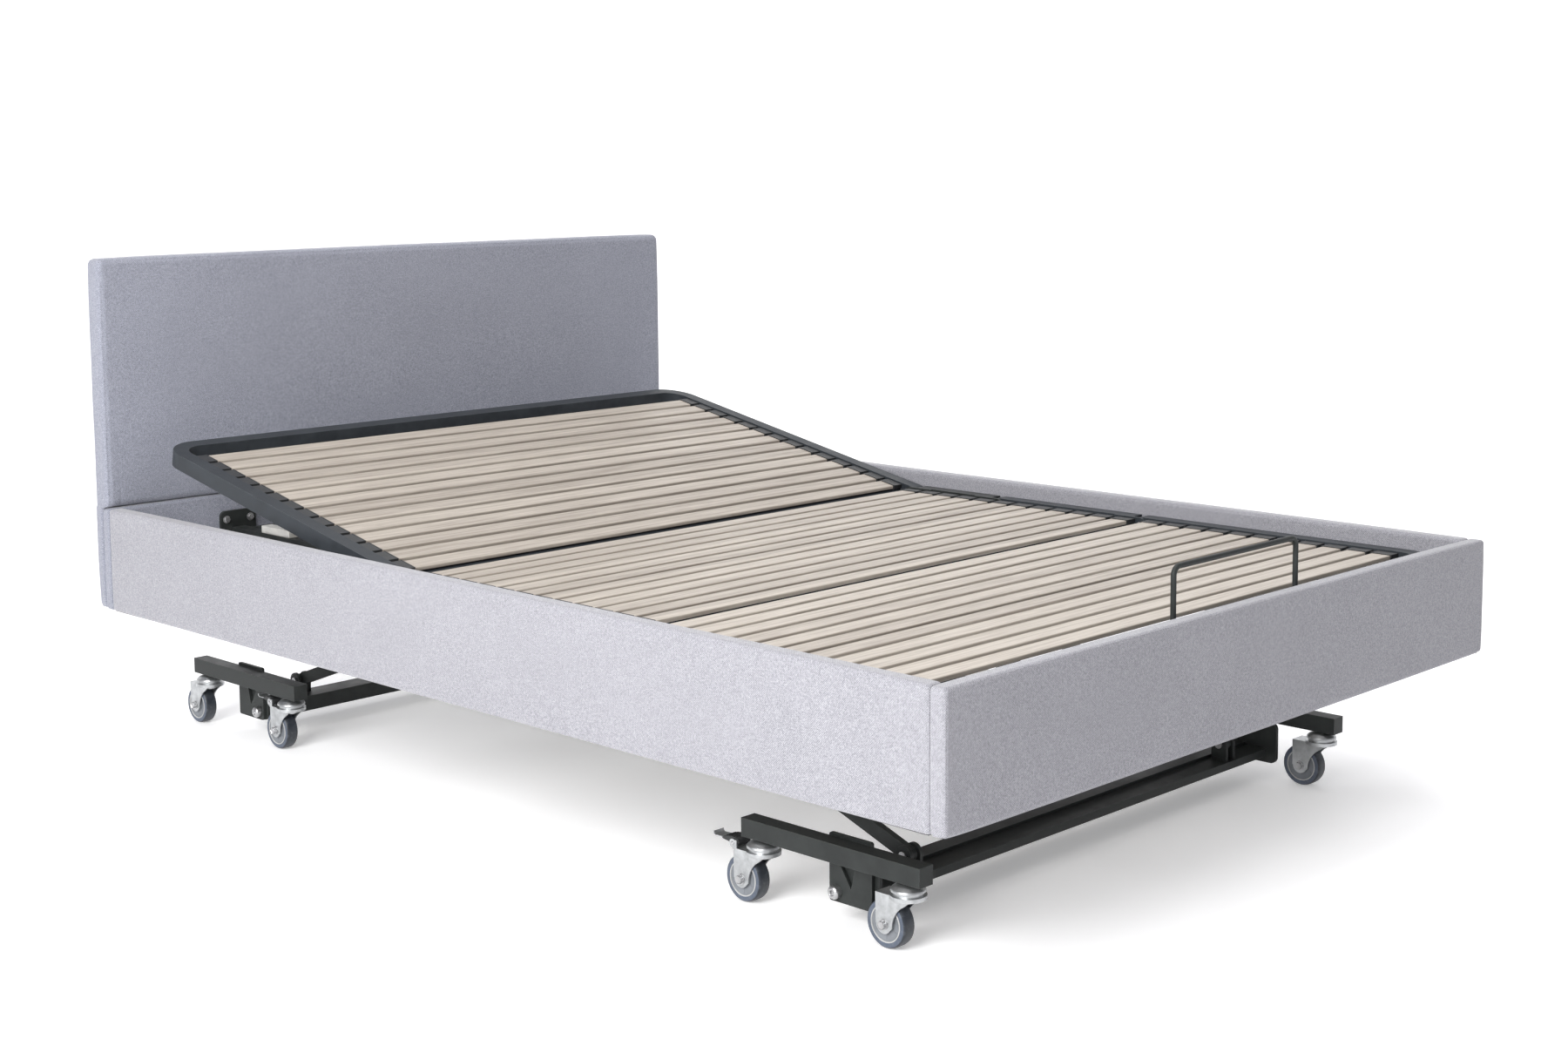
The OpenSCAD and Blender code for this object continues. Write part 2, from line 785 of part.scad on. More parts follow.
module cross_beam(end) {
    color("black") at_base(end) {
        tube_x([-beam_x, beam_x], 0, (beam_z0 + beam_z1) / 2, 2 * beam_half, beam_z1 - beam_z0, deck_wall);
        bar([-beam_x, beam_x], [beam_half, ledge_out], [ledge_z1 - ledge_t, ledge_z1]);
        bar([-beam_x, beam_x], [ledge_out - ledge_t, ledge_out], [ledge_z1 - ledge_lip, ledge_z1 - ledge_t]);
        both_sides() {
            difference() {
                plate_yz([beam_x, beam_x + end_plate_t], [end_plate_in, end_plate_out],
                    [end_plate_z0, end_plate_z1], end_plate_corner);
                rod_x([beam_x - 1, beam_x + end_plate_t + 1], 0, bolt_z, bolt_r);
            }
            for (s = [-1, 1]) arm_lug(arm_x + s * (arm_t / 2 + 2 + lug_t / 2));
        }
    }
}

// Upright plate on the ledge that holds an arm's lower pin
module arm_lug(x) {
    difference() {
        union() {
            bar([x - lug_t / 2, x + lug_t / 2], [arm_out - lug_half, arm_out + lug_half],
                [ledge_z1, arm_low_z]);
            rod_x([x - lug_t / 2, x + lug_t / 2], arm_out, arm_low_z, lug_half);
        }
        rod_x([x - lug_t, x + lug_t], arm_out, arm_low_z, low_pin_r);
    }
}

module foot_cross_beam() {
    cross_beam(-1);
}

module head_cross_beam() {
    cross_beam(1);
}

// Tube that carries two castors, closed at its ends, with its hanging bracket
module skates(end) {
    half = skate_length / 2;
    mid_z = (skate_z0 + skate_z1) / 2;
    color("darkslategray") at_base(end) both_sides() {
        difference() {
            bar([skate_in_x, skate_x], [skate_out - half, skate_out + half], [skate_z0, skate_z1]);
            bar([skate_in_x + deck_wall, skate_x - deck_wall], [skate_out - half + 3, skate_out + half - 3],
                [skate_z0 + deck_wall, skate_z1 - deck_wall]);
            for (s = [-1, 1]) translate([castor_x, skate_out + s * castor_reach, skate_z0 - 1])
                cylinder(h = deck_wall + 2, r = king_r);
        }
        difference() {
            plate_yz([skate_in_x - bracket_t, skate_in_x], [bracket_in, bracket_out],
                [bracket_z0, skate_z1 + bracket_rise], 4);
            translate([skate_in_x - bracket_t - 1, 0, 0]) rotate([90, 0, 90])
                linear_extrude(bracket_t + 2)
                    polygon([[1, skate_z0 - 2], [29, bolt_z + 9], [41, skate_z0 - 2]]);
            rod_x([skate_in_x - bracket_t - 1, skate_in_x + 1], 0, bolt_z, bolt_r);
        }
    }
}

module foot_skates() {
    skates(-1);
}

module head_skates() {
    skates(1);
}

// Bolts that join skates to beam, and the pins of the arms' lower pivots
module base_bolts(end) {
    color("silver") at_base(end) both_sides() {
        rod_x([beam_x - 4, skate_in_x + 2], 0, bolt_z, bolt_r);
        rod_x([skate_in_x, skate_in_x + 7], 0, bolt_z, 10.5);
        translate([beam_x - 10, 0, bolt_z]) rotate([0, 90, 0]) cylinder(h = 10, r = 10, $fn = 6);
        rod_x([arm_x - arm_t / 2 - lug_t - 5, arm_x + arm_t / 2 + lug_t + 5], arm_out, arm_low_z, low_pin_r);
    }
}

module foot_base_bolts() {
    base_bolts(-1);
}

module head_base_bolts() {
    base_bolts(1);
}

// ---------- castors ----------

cup_r = 27;
cup_z0 = 93;
neck_r = 9;

// Fixed upper race of a castor with its king pin, drawn about the swivel axis
module castor_stem() {
    translate([0, 0, crown_z - 4]) cylinder(h = skate_z0 + deck_wall - crown_z + 10, r = king_r - 0.05);
    translate([0, 0, crown_z - 7]) cylinder(h = 4, r = neck_r);
    rotate_extrude() polygon([
        [king_r - 0.05, cup_z0], [cup_r, cup_z0], [cup_r - 1, cup_z0 + 4],
        [cup_r - 6, cup_z0 + 8], [cup_r - 14, cup_z0 + 10.5], [neck_r, cup_z0 + 11],
        [neck_r, skate_z0], [king_r - 0.05, skate_z0]]);
}

module castor_stems(end) {
    color("silver") for (side = [-1, 1], out = [-1, 1])
        translate([side * castor_x, castor_y(end, out), 0]) castor_stem();
}

module foot_castor_stems() {
    castor_stems(-1);
}

module head_castor_stems() {
    castor_stems(1);
}

// Points of an arc in the YZ plane
function arc(cy, cz, r, a0, a1, n) = [for (i = [0:n]) let(a = a0 + (a1 - a0) * i / n)
    [cy + r * cos(a), cz + r * sin(a)]];

horn_r = 14;
axle_z = wheel_d / 2;
ring_r = 28;

// Side of the pressed fork: straight in front, hollowed behind
module fork_outline() {
    polygon(concat(
        [[-20, crown_z + fork_t], [castor_trail + 16, crown_z + fork_t], [castor_trail + 15, axle_z]],
        arc(castor_trail, axle_z, horn_r, 0, -150, 8),
        arc(-26, 34, 44, 0, 62, 8)));
}

// Swivelling fork with its lower race and its axle, drawn about the swivel axis
module fork_shape() {
    difference() {
        union() {
            for (s = [-1, 1]) translate([s * (fork_gap + fork_t / 2) - fork_t / 2, 0, 0])
                rotate([90, 0, 90]) linear_extrude(fork_t) fork_outline();
            bar([-fork_gap, fork_gap], [-20, castor_trail + 16], [crown_z, crown_z + fork_t]);
            translate([0, 0, crown_z]) cylinder(h = 6, r = ring_r);
            translate([0, 0, crown_z + 6]) cylinder(h = cup_z0 - crown_z - 6.4, r = ring_r - 5);
        }
        translate([0, 0, crown_z - 1]) cylinder(h = 20, r = king_r + run_gap - 0.05);
        rod_x([-fork_gap - fork_t - 1, fork_gap + fork_t + 1], castor_trail, axle_z, axle_r);
    }
    rod_x([-fork_gap - fork_t, fork_gap + fork_t], castor_trail, axle_z, axle_r);
    for (s = [-1, 1]) translate([s * (fork_gap + fork_t) + (s < 0 ? -5 : 0), castor_trail, axle_z])
        rotate([0, 90, 0]) cylinder(h = 5, r = 6.5, $fn = 6);
}

// Two ears and the pin that carry the brake pedal of a braked fork
module brake_ears() {
    for (s = [-1, 1]) translate([s * (fork_gap + fork_t / 2) - fork_t / 2, 0, 0]) {
        bar([0, fork_t], [pedal_y - 9, pedal_y], [crown_z, pedal_z + 6]);
        rod_x([0, fork_t], pedal_y, pedal_z, 7);
    }
    rod_x([-fork_gap - fork_t, fork_gap + fork_t], pedal_y, pedal_z, pedal_pin_r);
}

// One fork in its place; those nearer the middle of the bed have a brake
module fork(side, end, out) {
    color("lightgray") translate([side * castor_x, castor_y(end, out), 0]) {
        fork_shape();
        if (out < 0) brake_ears();
    }
}

// Tyre and rim, turning on the fork's axle
module wheel(side, end, out) {
    r = wheel_d / 2;
    w = wheel_w / 2;
    translate([side * castor_x, castor_y(end, out) + castor_trail, axle_z]) rotate([0, 90, 0]) {
        color("slategray") rotate_extrude() polygon([
            [r - 11, -w], [r - 5, -w], [r - 1.5, -w + 3.5], [r, -w + 8],
            [r, w - 8], [r - 1.5, w - 3.5], [r - 5, w], [r - 11, w]]);
        color("lightgray") rotate_extrude() polygon([
            [axle_r + run_gap, -w - 1], [12, -w - 1], [12, -3], [r - 14, -3], [r - 14, -w + 1],
            [r - 11, -w + 1], [r - 11, w - 1], [r - 14, w - 1], [r - 14, 3], [12, 3], [12, w + 1],
            [axle_r + run_gap, w + 1]]);
    }
}

// Brake pedal: a boss on the fork's pin and a plate that ends in a raised lip
module brake(side, end) {
    half = fork_gap - 0.5;
    color("black") translate([side * castor_x, castor_y(end, -1), 0]) difference() {
        union() {
            rod_x([-half, half], pedal_y, pedal_z, 6);
            bar([-half, half], [pedal_y, pedal_reach], [pedal_z + 2, pedal_z + 6]);
            bar([-half, half], [pedal_reach - 6, pedal_reach], [pedal_z + 2, pedal_z + 9]);
        }
        rod_x([-half - 1, half + 1], pedal_y, pedal_z, pedal_pin_r + run_gap);
    }
}

module fork_foot_left_out() { fork(-1, -1, 1); }
module fork_foot_left_in() { fork(-1, -1, -1); }
module fork_foot_right_out() { fork(1, -1, 1); }
module fork_foot_right_in() { fork(1, -1, -1); }
module fork_head_left_out() { fork(-1, 1, 1); }
module fork_head_left_in() { fork(-1, 1, -1); }
module fork_head_right_out() { fork(1, 1, 1); }
module fork_head_right_in() { fork(1, 1, -1); }
module wheel_foot_left_out() { wheel(-1, -1, 1); }
module wheel_foot_left_in() { wheel(-1, -1, -1); }
module wheel_foot_right_out() { wheel(1, -1, 1); }
module wheel_foot_right_in() { wheel(1, -1, -1); }
module wheel_head_left_out() { wheel(-1, 1, 1); }
module wheel_head_left_in() { wheel(-1, 1, -1); }
module wheel_head_right_out() { wheel(1, 1, 1); }
module wheel_head_right_in() { wheel(1, 1, -1); }
module brake_foot_left() { brake(-1, -1); }
module brake_foot_right() { brake(1, -1); }
module brake_head_left() { brake(-1, 1); }
module brake_head_right() { brake(1, 1); }

main_frame();
panel_boards();
headboard_cover();
head_panel();
foot_panel();
left_side_panel();
right_side_panel();
panel_brackets();
panel_bolts();
control_box();
pivot_pins();
deck_glides();
seat_slats();
head_section_frame();
head_slats();
thigh_frame();
thigh_slats();
knee_pins();
foot_section_frame();
foot_slats();
mattress_retainer();
head_actuator();
head_actuator_rod();
thigh_actuator();
thigh_actuator_rod();
foot_lift_actuator();
foot_lift_rod();
head_lift_actuator();
head_lift_rod();
foot_leg();
head_leg();
foot_cross_beam();
head_cross_beam();
foot_skates();
head_skates();
foot_base_bolts();
head_base_bolts();
foot_castor_stems();
head_castor_stems();
fork_foot_left_out();
fork_foot_left_in();
fork_foot_right_out();
fork_foot_right_in();
fork_head_left_out();
fork_head_left_in();
fork_head_right_out();
fork_head_right_in();
wheel_foot_left_out();
wheel_foot_left_in();
wheel_foot_right_out();
wheel_foot_right_in();
wheel_head_left_out();
wheel_head_left_in();
wheel_head_right_out();
wheel_head_right_in();
brake_foot_left();
brake_foot_right();
brake_head_left();
brake_head_right();
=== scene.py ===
"""Adjustable bed base: looks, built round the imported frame."""
import math

import bmesh
import bpy
from mathutils import Matrix, Vector, noise


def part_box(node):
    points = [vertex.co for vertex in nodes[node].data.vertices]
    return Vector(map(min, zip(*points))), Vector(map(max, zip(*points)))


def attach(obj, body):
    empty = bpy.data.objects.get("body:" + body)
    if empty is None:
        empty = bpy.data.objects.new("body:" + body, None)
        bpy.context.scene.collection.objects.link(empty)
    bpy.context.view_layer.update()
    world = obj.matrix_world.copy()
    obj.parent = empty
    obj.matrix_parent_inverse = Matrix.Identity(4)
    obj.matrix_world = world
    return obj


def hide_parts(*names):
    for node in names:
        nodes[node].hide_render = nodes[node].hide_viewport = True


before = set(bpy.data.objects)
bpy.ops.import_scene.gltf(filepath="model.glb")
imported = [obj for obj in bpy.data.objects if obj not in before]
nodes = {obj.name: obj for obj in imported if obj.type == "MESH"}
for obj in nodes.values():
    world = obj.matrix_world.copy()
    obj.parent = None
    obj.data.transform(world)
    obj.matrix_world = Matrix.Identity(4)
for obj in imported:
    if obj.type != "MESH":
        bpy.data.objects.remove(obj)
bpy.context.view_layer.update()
scene = bpy.context.scene


# ---------------------------------------------------------------- node tools
class Tree:
    """A material's node tree, with short calls for the nodes used here."""

    def __init__(self, name, base=(0.5, 0.5, 0.5), rough=0.5, **fixed):
        self.mat = bpy.data.materials.new(name)
        self.mat.use_nodes = True
        self.nodes = self.mat.node_tree.nodes
        self.links = self.mat.node_tree.links
        self.shader = self.nodes["Principled BSDF"]
        self.shader.inputs["Base Color"].default_value = (*base, 1)
        self.shader.inputs["Roughness"].default_value = rough
        self.mat.diffuse_color = (*base, 1)
        for key, value in fixed.items():
            self.shader.inputs[key.replace("_", " ")].default_value = value
        self.coord = self.nodes.new("ShaderNodeTexCoord")
        self.place = self.coord.outputs["Object"]
        self.normal = self.coord.outputs["Normal"]

    def put(self, socket, value):
        if isinstance(value, bpy.types.NodeSocket):
            self.links.new(value, socket)
        elif isinstance(value, tuple) and len(value) == 3 and socket.type == "RGBA":
            socket.default_value = (*value, 1)
        else:
            socket.default_value = value

    def math(self, kind, *values):
        node = self.nodes.new("ShaderNodeMath")
        node.operation = kind
        for socket, value in zip(node.inputs, values):
            self.put(socket, value)
        return node.outputs[0]

    def split(self, vector):
        node = self.nodes.new("ShaderNodeSeparateXYZ")
        self.put(node.inputs[0], vector)
        return node.outputs

    def join(self, x, y, z):
        node = self.nodes.new("ShaderNodeCombineXYZ")
        for socket, value in zip(node.inputs, (x, y, z)):
            self.put(socket, value)
        return node.outputs[0]

    def stretch(self, factors, vector=None):
        node = self.nodes.new("ShaderNodeVectorMath")
        node.operation = "MULTIPLY"
        self.put(node.inputs[0], vector if vector is not None else self.place)
        node.inputs[1].default_value = factors
        return node.outputs[0]

    def noise(self, scale, detail=2.0, rough=0.5, vector=None, distortion=0.0):
        node = self.nodes.new("ShaderNodeTexNoise")
        self.put(node.inputs["Vector"], vector if vector is not None else self.place)
        node.inputs["Scale"].default_value = scale
        node.inputs["Detail"].default_value = detail
        node.inputs["Roughness"].default_value = rough
        node.inputs["Distortion"].default_value = distortion
        return node.outputs["Fac"]

    def cells(self, vector):
        node = self.nodes.new("ShaderNodeTexWhiteNoise")
        self.put(node.inputs["Vector"], vector)
        return node.outputs["Value"]

    def ramp(self, value, low, high, out_low=0.0, out_high=1.0):
        node = self.nodes.new("ShaderNodeMapRange")
        node.clamp = True
        for socket, v in zip(node.inputs, (value, low, high, out_low, out_high)):
            self.put(socket, v)
        return node.outputs[0]

    def mix(self, fac, a, b):
        node = self.nodes.new("ShaderNodeMix")
        node.data_type = "RGBA"
        self.put(node.inputs[0], fac)
        self.put(node.inputs[6], a)
        self.put(node.inputs[7], b)
        return node.outputs[2]

    def blend(self, fac, a, b):
        node = self.nodes.new("ShaderNodeMix")
        node.data_type = "FLOAT"
        self.put(node.inputs[0], fac)
        self.put(node.inputs[2], a)
        self.put(node.inputs[3], b)
        return node.outputs[0]

    def edges(self):
        """1 on sharp or rounded edges and 0 on flat faces, for rubbed paint and a painted highlight along the
        edges.
        """
        node = self.nodes.new("ShaderNodeBevel")
        node.samples = 4
        node.inputs["Radius"].default_value = 0.0015
        flat = self.nodes.new("ShaderNodeNewGeometry")
        dot = self.nodes.new("ShaderNodeVectorMath")
        dot.operation = "DOT_PRODUCT"
        self.put(dot.inputs[0], node.outputs[0])
        self.put(dot.inputs[1], flat.outputs["Normal"])
        return self.ramp(dot.outputs["Value"], 0.995, 0.90)

    def color(self, value):
        self.put(self.shader.inputs["Base Color"], value)

    def rough(self, value):
        self.put(self.shader.inputs["Roughness"], value)

    def bump(self, height, distance, strength):
        node = self.nodes.new("ShaderNodeBump")
        node.inputs["Strength"].default_value = strength
        node.inputs["Distance"].default_value = distance
        self.put(node.inputs["Height"], height)
        self.put(self.shader.inputs["Normal"], node.outputs[0])


def face_plane(tree):
    """Two coordinates that lie in the face, whichever way it looks."""
    x, y, z = tree.split(tree.place)
    nx, ny, nz = (tree.math("ABSOLUTE", n) for n in tree.split(tree.normal))
    side = tree.math("GREATER_THAN", nx, tree.math("MAXIMUM", ny, nz))
    top = tree.math("GREATER_THAN", nz, tree.math("MAXIMUM", nx, ny))
    return tree.blend(side, x, y), tree.blend(top, z, y)


# ----------------------------------------------------------------- materials
def upholstery(name, light, dark, pitch=0.0017):
    """Woven melange cloth: diagonal rows of small raised threads, two tones of yarn and slubs."""
    t = Tree(name, light, 0.85, Sheen_Weight=0.35, Sheen_Roughness=0.45, Specular_IOR_Level=0.25)
    u, v = face_plane(t)
    k = math.pi / pitch
    a = t.math("SINE", t.math("MULTIPLY", u, k))
    b = t.math("SINE", t.math("MULTIPLY", v, k))
    twill = t.math("SINE", t.math("MULTIPLY", t.math("ADD", u, v), k))
    weave = t.math("ADD", t.math("MULTIPLY", a, b), t.math("MULTIPLY", twill, 0.25))
    threads = t.ramp(weave, -0.85, 0.85)
    across = t.noise(1.0, 1.0, 0.5, t.stretch((160, 160, 900)))
    upright = t.noise(1.0, 1.0, 0.5, t.stretch((900, 900, 160)))
    slubs = t.ramp(t.math("MAXIMUM", across, upright), 0.48, 0.72)
    yarn = t.ramp(t.noise(430, 3.0, 0.7), 0.33, 0.67)
    patches = t.ramp(t.noise(9, 3.0, 0.55), 0.3, 0.7, -0.02, 0.02)
    tone = t.math("ADD", t.math("MULTIPLY", yarn, 0.42), t.math("MULTIPLY", slubs, 0.24))
    tone = t.math("ADD", tone, t.math("MULTIPLY", threads, 0.40))
    tone = t.math("ADD", tone, patches)
    t.color(t.mix(t.ramp(tone, 0.05, 0.95), dark, light))
    height = t.math("ADD", threads, t.math("MULTIPLY", yarn, 0.6))
    t.bump(height, 0.00022, 0.75)
    return t.mat


def powder_coat(name, base, worn_and_highlight, rough):
    """Fine-textured powder coat with a faint orange peel, dust, and edges painted lighter: partly rubbed
    paint, partly a painted highlight.
    """
    t = Tree(name, base, rough, Specular_IOR_Level=0.22)
    peel = t.noise(1100, 2.0, 0.55)
    mottled = t.ramp(t.noise(22, 3.0, 0.6), 0.35, 0.7)
    # Lighter edges: partly rubbed paint, partly a painted highlight where the rounded edges catch the light
    rubbed_and_highlit = t.math("MULTIPLY", t.edges(), t.ramp(t.noise(60, 3.0, 0.65), 0.42, 0.62, 0.15, 0.8))
    dusty = tuple(c * 1.35 + 0.004 for c in base)
    t.color(t.mix(rubbed_and_highlit, t.mix(mottled, base, dusty), worn_and_highlight))
    sheen = t.ramp(mottled, 0, 1, rough - 0.06, rough + 0.07)
    t.rough(t.math("ADD", sheen, t.math("MULTIPLY", peel, 0.08)))
    t.bump(peel, 0.00006, 0.6)
    return t.mat


def zinc_plate(name, base, rough):
    """Bright zinc on pressed steel, with drawing lines and faint cloudy patches."""
    t = Tree(name, base, rough, Metallic=0.92)
    cloud = t.ramp(t.noise(70, 4.0, 0.6), 0.3, 0.7)
    lines = t.noise(1.0, 2.0, 0.6, t.stretch((1500, 1500, 160)))
    dull = tuple(c * 0.70 for c in base)
    t.color(t.mix(cloud, dull, base))
    sheen = t.ramp(cloud, 0, 1, rough + 0.10, rough - 0.05)
    t.rough(t.math("ADD", sheen, t.math("MULTIPLY", lines, 0.10)))
    t.bump(lines, 0.00003, 0.5)
    return t.mat


def slat_wood(name, light, dark, pitch=0.050):
    """Laminated beech with a clear matt coat: grain along the slat, each slat a shade of its own."""
    t = Tree(name, light, 0.45, Coat_Weight=0.15, Coat_Roughness=0.35)
    x, y, z = t.split(t.place)
    slat = t.math("FLOOR", t.math("DIVIDE", y, pitch))
    own = t.cells(t.join(slat, slat, 0.0))
    shifted = t.join(t.math("ADD", x, t.math("MULTIPLY", own, 5.0)), y, z)
    long_grain = t.noise(1.0, 5.0, 0.6, t.stretch((7, 190, 190), shifted), 0.4)
    pores = t.ramp(t.noise(1.0, 2.0, 0.7, t.stretch((70, 1500, 1500), shifted)), 0.55, 0.75)
    plies = t.math("MULTIPLY", t.math("SINE", t.math("MULTIPLY", z, 5200)), 0.08)
    shade = t.math("MULTIPLY", t.math("SUBTRACT", own, 0.5), 0.55)
    tone = t.math("ADD", t.ramp(long_grain, 0.3, 0.7), shade)
    tone = t.math("ADD", tone, plies)
    wood = t.mix(t.ramp(tone, 0, 1), light, dark)
    t.color(t.mix(t.math("MULTIPLY", pores, 0.35), wood, tuple(c * 0.5 for c in dark)))
    t.rough(t.ramp(long_grain, 0.3, 0.7, 0.42, 0.58))
    t.bump(t.math("ADD", long_grain, pores), 0.00008, 0.5)
    return t.mat


def moulded(name, base, rough):
    """Moulded plastic with a fine spark-eroded texture and slight shade change."""
    t = Tree(name, base, rough)
    fine = t.noise(700, 2.0, 0.5)
    cloud = t.ramp(t.noise(35, 3.0, 0.6), 0.35, 0.7)
    t.color(t.mix(cloud, base, tuple(c * 1.25 + 0.003 for c in base)))
    t.rough(t.math("ADD", t.ramp(cloud, 0, 1, rough - 0.05, rough + 0.05), t.math("MULTIPLY", fine, 0.06)))
    t.bump(fine, 0.00005, 0.6)
    return t.mat


def tyre_skin(name, base, dusty):
    """Polyurethane tread: smooth, scuffed and dusty round the running face."""
    t = Tree(name, base, 0.5)
    scuffs = t.ramp(t.noise(160, 4.0, 0.65), 0.50, 0.72)
    cloud = t.ramp(t.noise(45, 2.0, 0.5), 0.35, 0.7)
    t.color(t.mix(t.math("MULTIPLY", scuffs, 0.45), t.mix(cloud, base, tuple(c * 1.3 for c in base)), dusty))
    t.rough(t.math("ADD", 0.40, t.math("MULTIPLY", scuffs, 0.25)))
    t.bump(scuffs, 0.00008, 0.4)
    return t.mat


FABRIC = upholstery("fabric_side", (0.44, 0.437, 0.47), (0.13, 0.13, 0.15))
FABRIC_HEAD = upholstery("fabric_head", (0.385, 0.398, 0.462), (0.118, 0.124, 0.155))
LINING = upholstery("fabric_lining", (0.045, 0.046, 0.050), (0.020, 0.020, 0.022), 0.0030)
# The third colour of each powder coat is its lighter edge colour: rubbed paint and a painted edge highlight
DECK_STEEL = powder_coat("powder_deck", (0.025, 0.029, 0.034), (0.10, 0.11, 0.12), 0.44)
BASE_STEEL = powder_coat("powder_base", (0.020, 0.0225, 0.022), (0.08, 0.085, 0.083), 0.42)
ZINC = zinc_plate("zinc", (0.56, 0.575, 0.585), 0.30)
BOLT = zinc_plate("zinc_bolt", (0.58, 0.58, 0.59), 0.24)
WOOD = slat_wood("slat_wood", (0.47, 0.42, 0.36), (0.29, 0.25, 0.21))
PLASTIC = moulded("plastic_black", (0.016, 0.017, 0.018), 0.48)
PLASTIC_GREY = moulded("plastic_grey", (0.20, 0.21, 0.22), 0.50)
NYLON = moulded("nylon", (0.62, 0.61, 0.58), 0.42)
HUB = moulded("wheel_hub", (0.145, 0.155, 0.17), 0.45)
RING = moulded("wheel_ring", (0.38, 0.38, 0.375), 0.42)
TYRE = tyre_skin("tyre", (0.022, 0.026, 0.034), (0.10, 0.11, 0.12))
TYRE_SIDE = tyre_skin("tyre_side", (0.060, 0.075, 0.105), (0.16, 0.17, 0.19))


# ------------------------------------------------------------- mesh tools
def publish(name, bm, material, body, smooth=True):
    """The finished mesh as a piece that rides on a body."""
    mesh = bpy.data.meshes.new(name)
    bm.to_mesh(mesh)
    bm.free()
    for face in mesh.polygons:
        face.use_smooth = smooth
    for m in material if isinstance(material, list) else [material]:
        mesh.materials.append(m)
    ob = bpy.data.objects.new(name, mesh)
    scene.collection.objects.link(ob)
    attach(ob, body)
    return ob


def soften(ob, width, segments=2, weld=0.00001):
    """Rounds the edges of a machined or pressed piece, as its real edges are."""
    if weld:
        m = ob.modifiers.new("weld", "WELD")
        m.merge_threshold = weld
        m = ob.modifiers.new("flat", "DECIMATE")
        m.decimate_type = "DISSOLVE"
        m.angle_limit = math.radians(0.4)
    m = ob.modifiers.new("edges", "BEVEL")
    m.width = width
    m.segments = segments
    m.limit_method = "ANGLE"
    m.angle_limit = math.radians(32)
    m.use_clamp_overlap = True
    m = ob.modifiers.new("normals", "WEIGHTED_NORMAL")
    m.keep_sharp = False
    return ob


def dress(name, material, width, segments):
    """A CAD node kept as it is: softened edges and a real finish."""
    ob = nodes[name]
    ob.data.materials.clear()
    ob.data.materials.append(material)
    ob.data.polygons.foreach_set("use_smooth", [True] * len(ob.data.polygons))
    ob.data.update()
    soften(ob, width, segments)


def lathe(bm, profile, axis="z", centre=(0, 0, 0), steps=40, material=0):
    """Turns (radius, height) points round an axis; the ends are closed if they reach the axis."""
    rings = []
    c = Vector(centre)
    for radius, height in profile:
        ring = []
        for i in range(steps if radius > 1e-6 else 1):
            a = 2 * math.pi * i / steps
            p = {
                "z": (radius * math.cos(a), radius * math.sin(a), height),
                "x": (height, radius * math.cos(a), radius * math.sin(a)),
                "y": (radius * math.sin(a), height, radius * math.cos(a)),
            }[axis]
            ring.append(bm.verts.new(c + Vector(p)))
        rings.append(ring)
    for low, high in zip(rings, rings[1:]):
        for i in range(steps):
            j = (i + 1) % steps
            corners = [low[i % len(low)], low[j % len(low)], high[j % len(high)], high[i % len(high)]]
            corners = list(dict.fromkeys(corners))
            if len(corners) > 2:
                bm.faces.new(corners).material_index = material


def box_into(bm, lo, hi, material=0):
    """A block with its corners at lo and hi. Its vertices are returned, to turn them."""
    made = bmesh.ops.create_cube(bm, size=1)["verts"]
    lo, hi = Vector(lo), Vector(hi)
    for v in made:
        v.co = Vector(((v.co[i] + 0.5) * (hi[i] - lo[i]) + lo[i] for i in range(3)))
    for f in {f for v in made for f in v.link_faces}:
        f.material_index = material
    return made


def steps_along(lo, hi, radius, cell, extra):
    """Grid lines from lo to hi: close together in the rounded edges, then about a cell apart."""
    edge = 5
    turn = [radius * (1 - math.tan(math.pi / 4 * (1 - i / edge))) for i in range(edge + 1)]
    count = max(1, round((hi - lo - 2 * radius) / cell))
    middle = [lo + radius + (hi - lo - 2 * radius) * i / count for i in range(1, count)]
    every = [lo + t for t in turn] + middle + [hi - t for t in reversed(turn)]
    every += [e for e in extra if lo + radius < e < hi - radius]
    return sorted(set(round(v, 6) for v in every))


def padded_box(lo, hi, radius, cell, crown, extra=((), (), ()), seed=0.0, ripple=0.0004):
    """A board wrapped in foam and cloth: rounded edges, faces that stand slightly proud in the
    middle and pull in along their edges, with slow ripples where the cloth isn't quite tight."""
    bm = bmesh.new()
    lines = [steps_along(lo[i], hi[i], radius[i], cell[i], extra[i]) for i in range(3)]
    found = {}

    def vertex(i, j, k):
        key = (i, j, k)
        if key not in found:
            p = Vector((lines[0][i], lines[1][j], lines[2][k]))
            inner = Vector((min(max(p[n], lo[n] + radius[n]), hi[n] - radius[n]) for n in range(3)))
            out = Vector(((p[n] - inner[n]) / radius[n] for n in range(3)))
            if out.length > 1e-9:
                out.normalize()
                p = inner + Vector((out[n] * radius[n] for n in range(3)))
                swell = crown
                for n in range(3):
                    span = (p[n] - lo[n]) / (hi[n] - lo[n])
                    edge = abs(2 * span - 1)
                    if abs(out[n]) < 0.7:
                        swell *= 1 - edge ** 6
                slow = noise.noise(Vector((p.x * 4 + seed, p.y * 4, p.z * 9)))
                fine = noise.noise(Vector((p.x * 16, p.y * 16 + seed, p.z * 22)))
                flat = max(abs(c) for c in out) ** 4
                p = p + out * (swell + ripple * flat * (slow + 0.45 * fine))
            found[key] = bm.verts.new(p)
        return found[key]

    size = [len(line) - 1 for line in lines]
    for axis in range(3):
        b, c = (axis + 1) % 3, (axis + 2) % 3
        for end in (0, size[axis]):
            for m in range(size[b]):
                for n in range(size[c]):
                    ring = []
                    for dm, dn in ((0, 0), (1, 0), (1, 1), (0, 1)):
                        index = [0, 0, 0]
                        index[axis], index[b], index[c] = end, m + dm, n + dn
                        ring.append(vertex(*index))
                    if end == 0:
                        ring.reverse()
                    bm.faces.new(ring)
    return bm


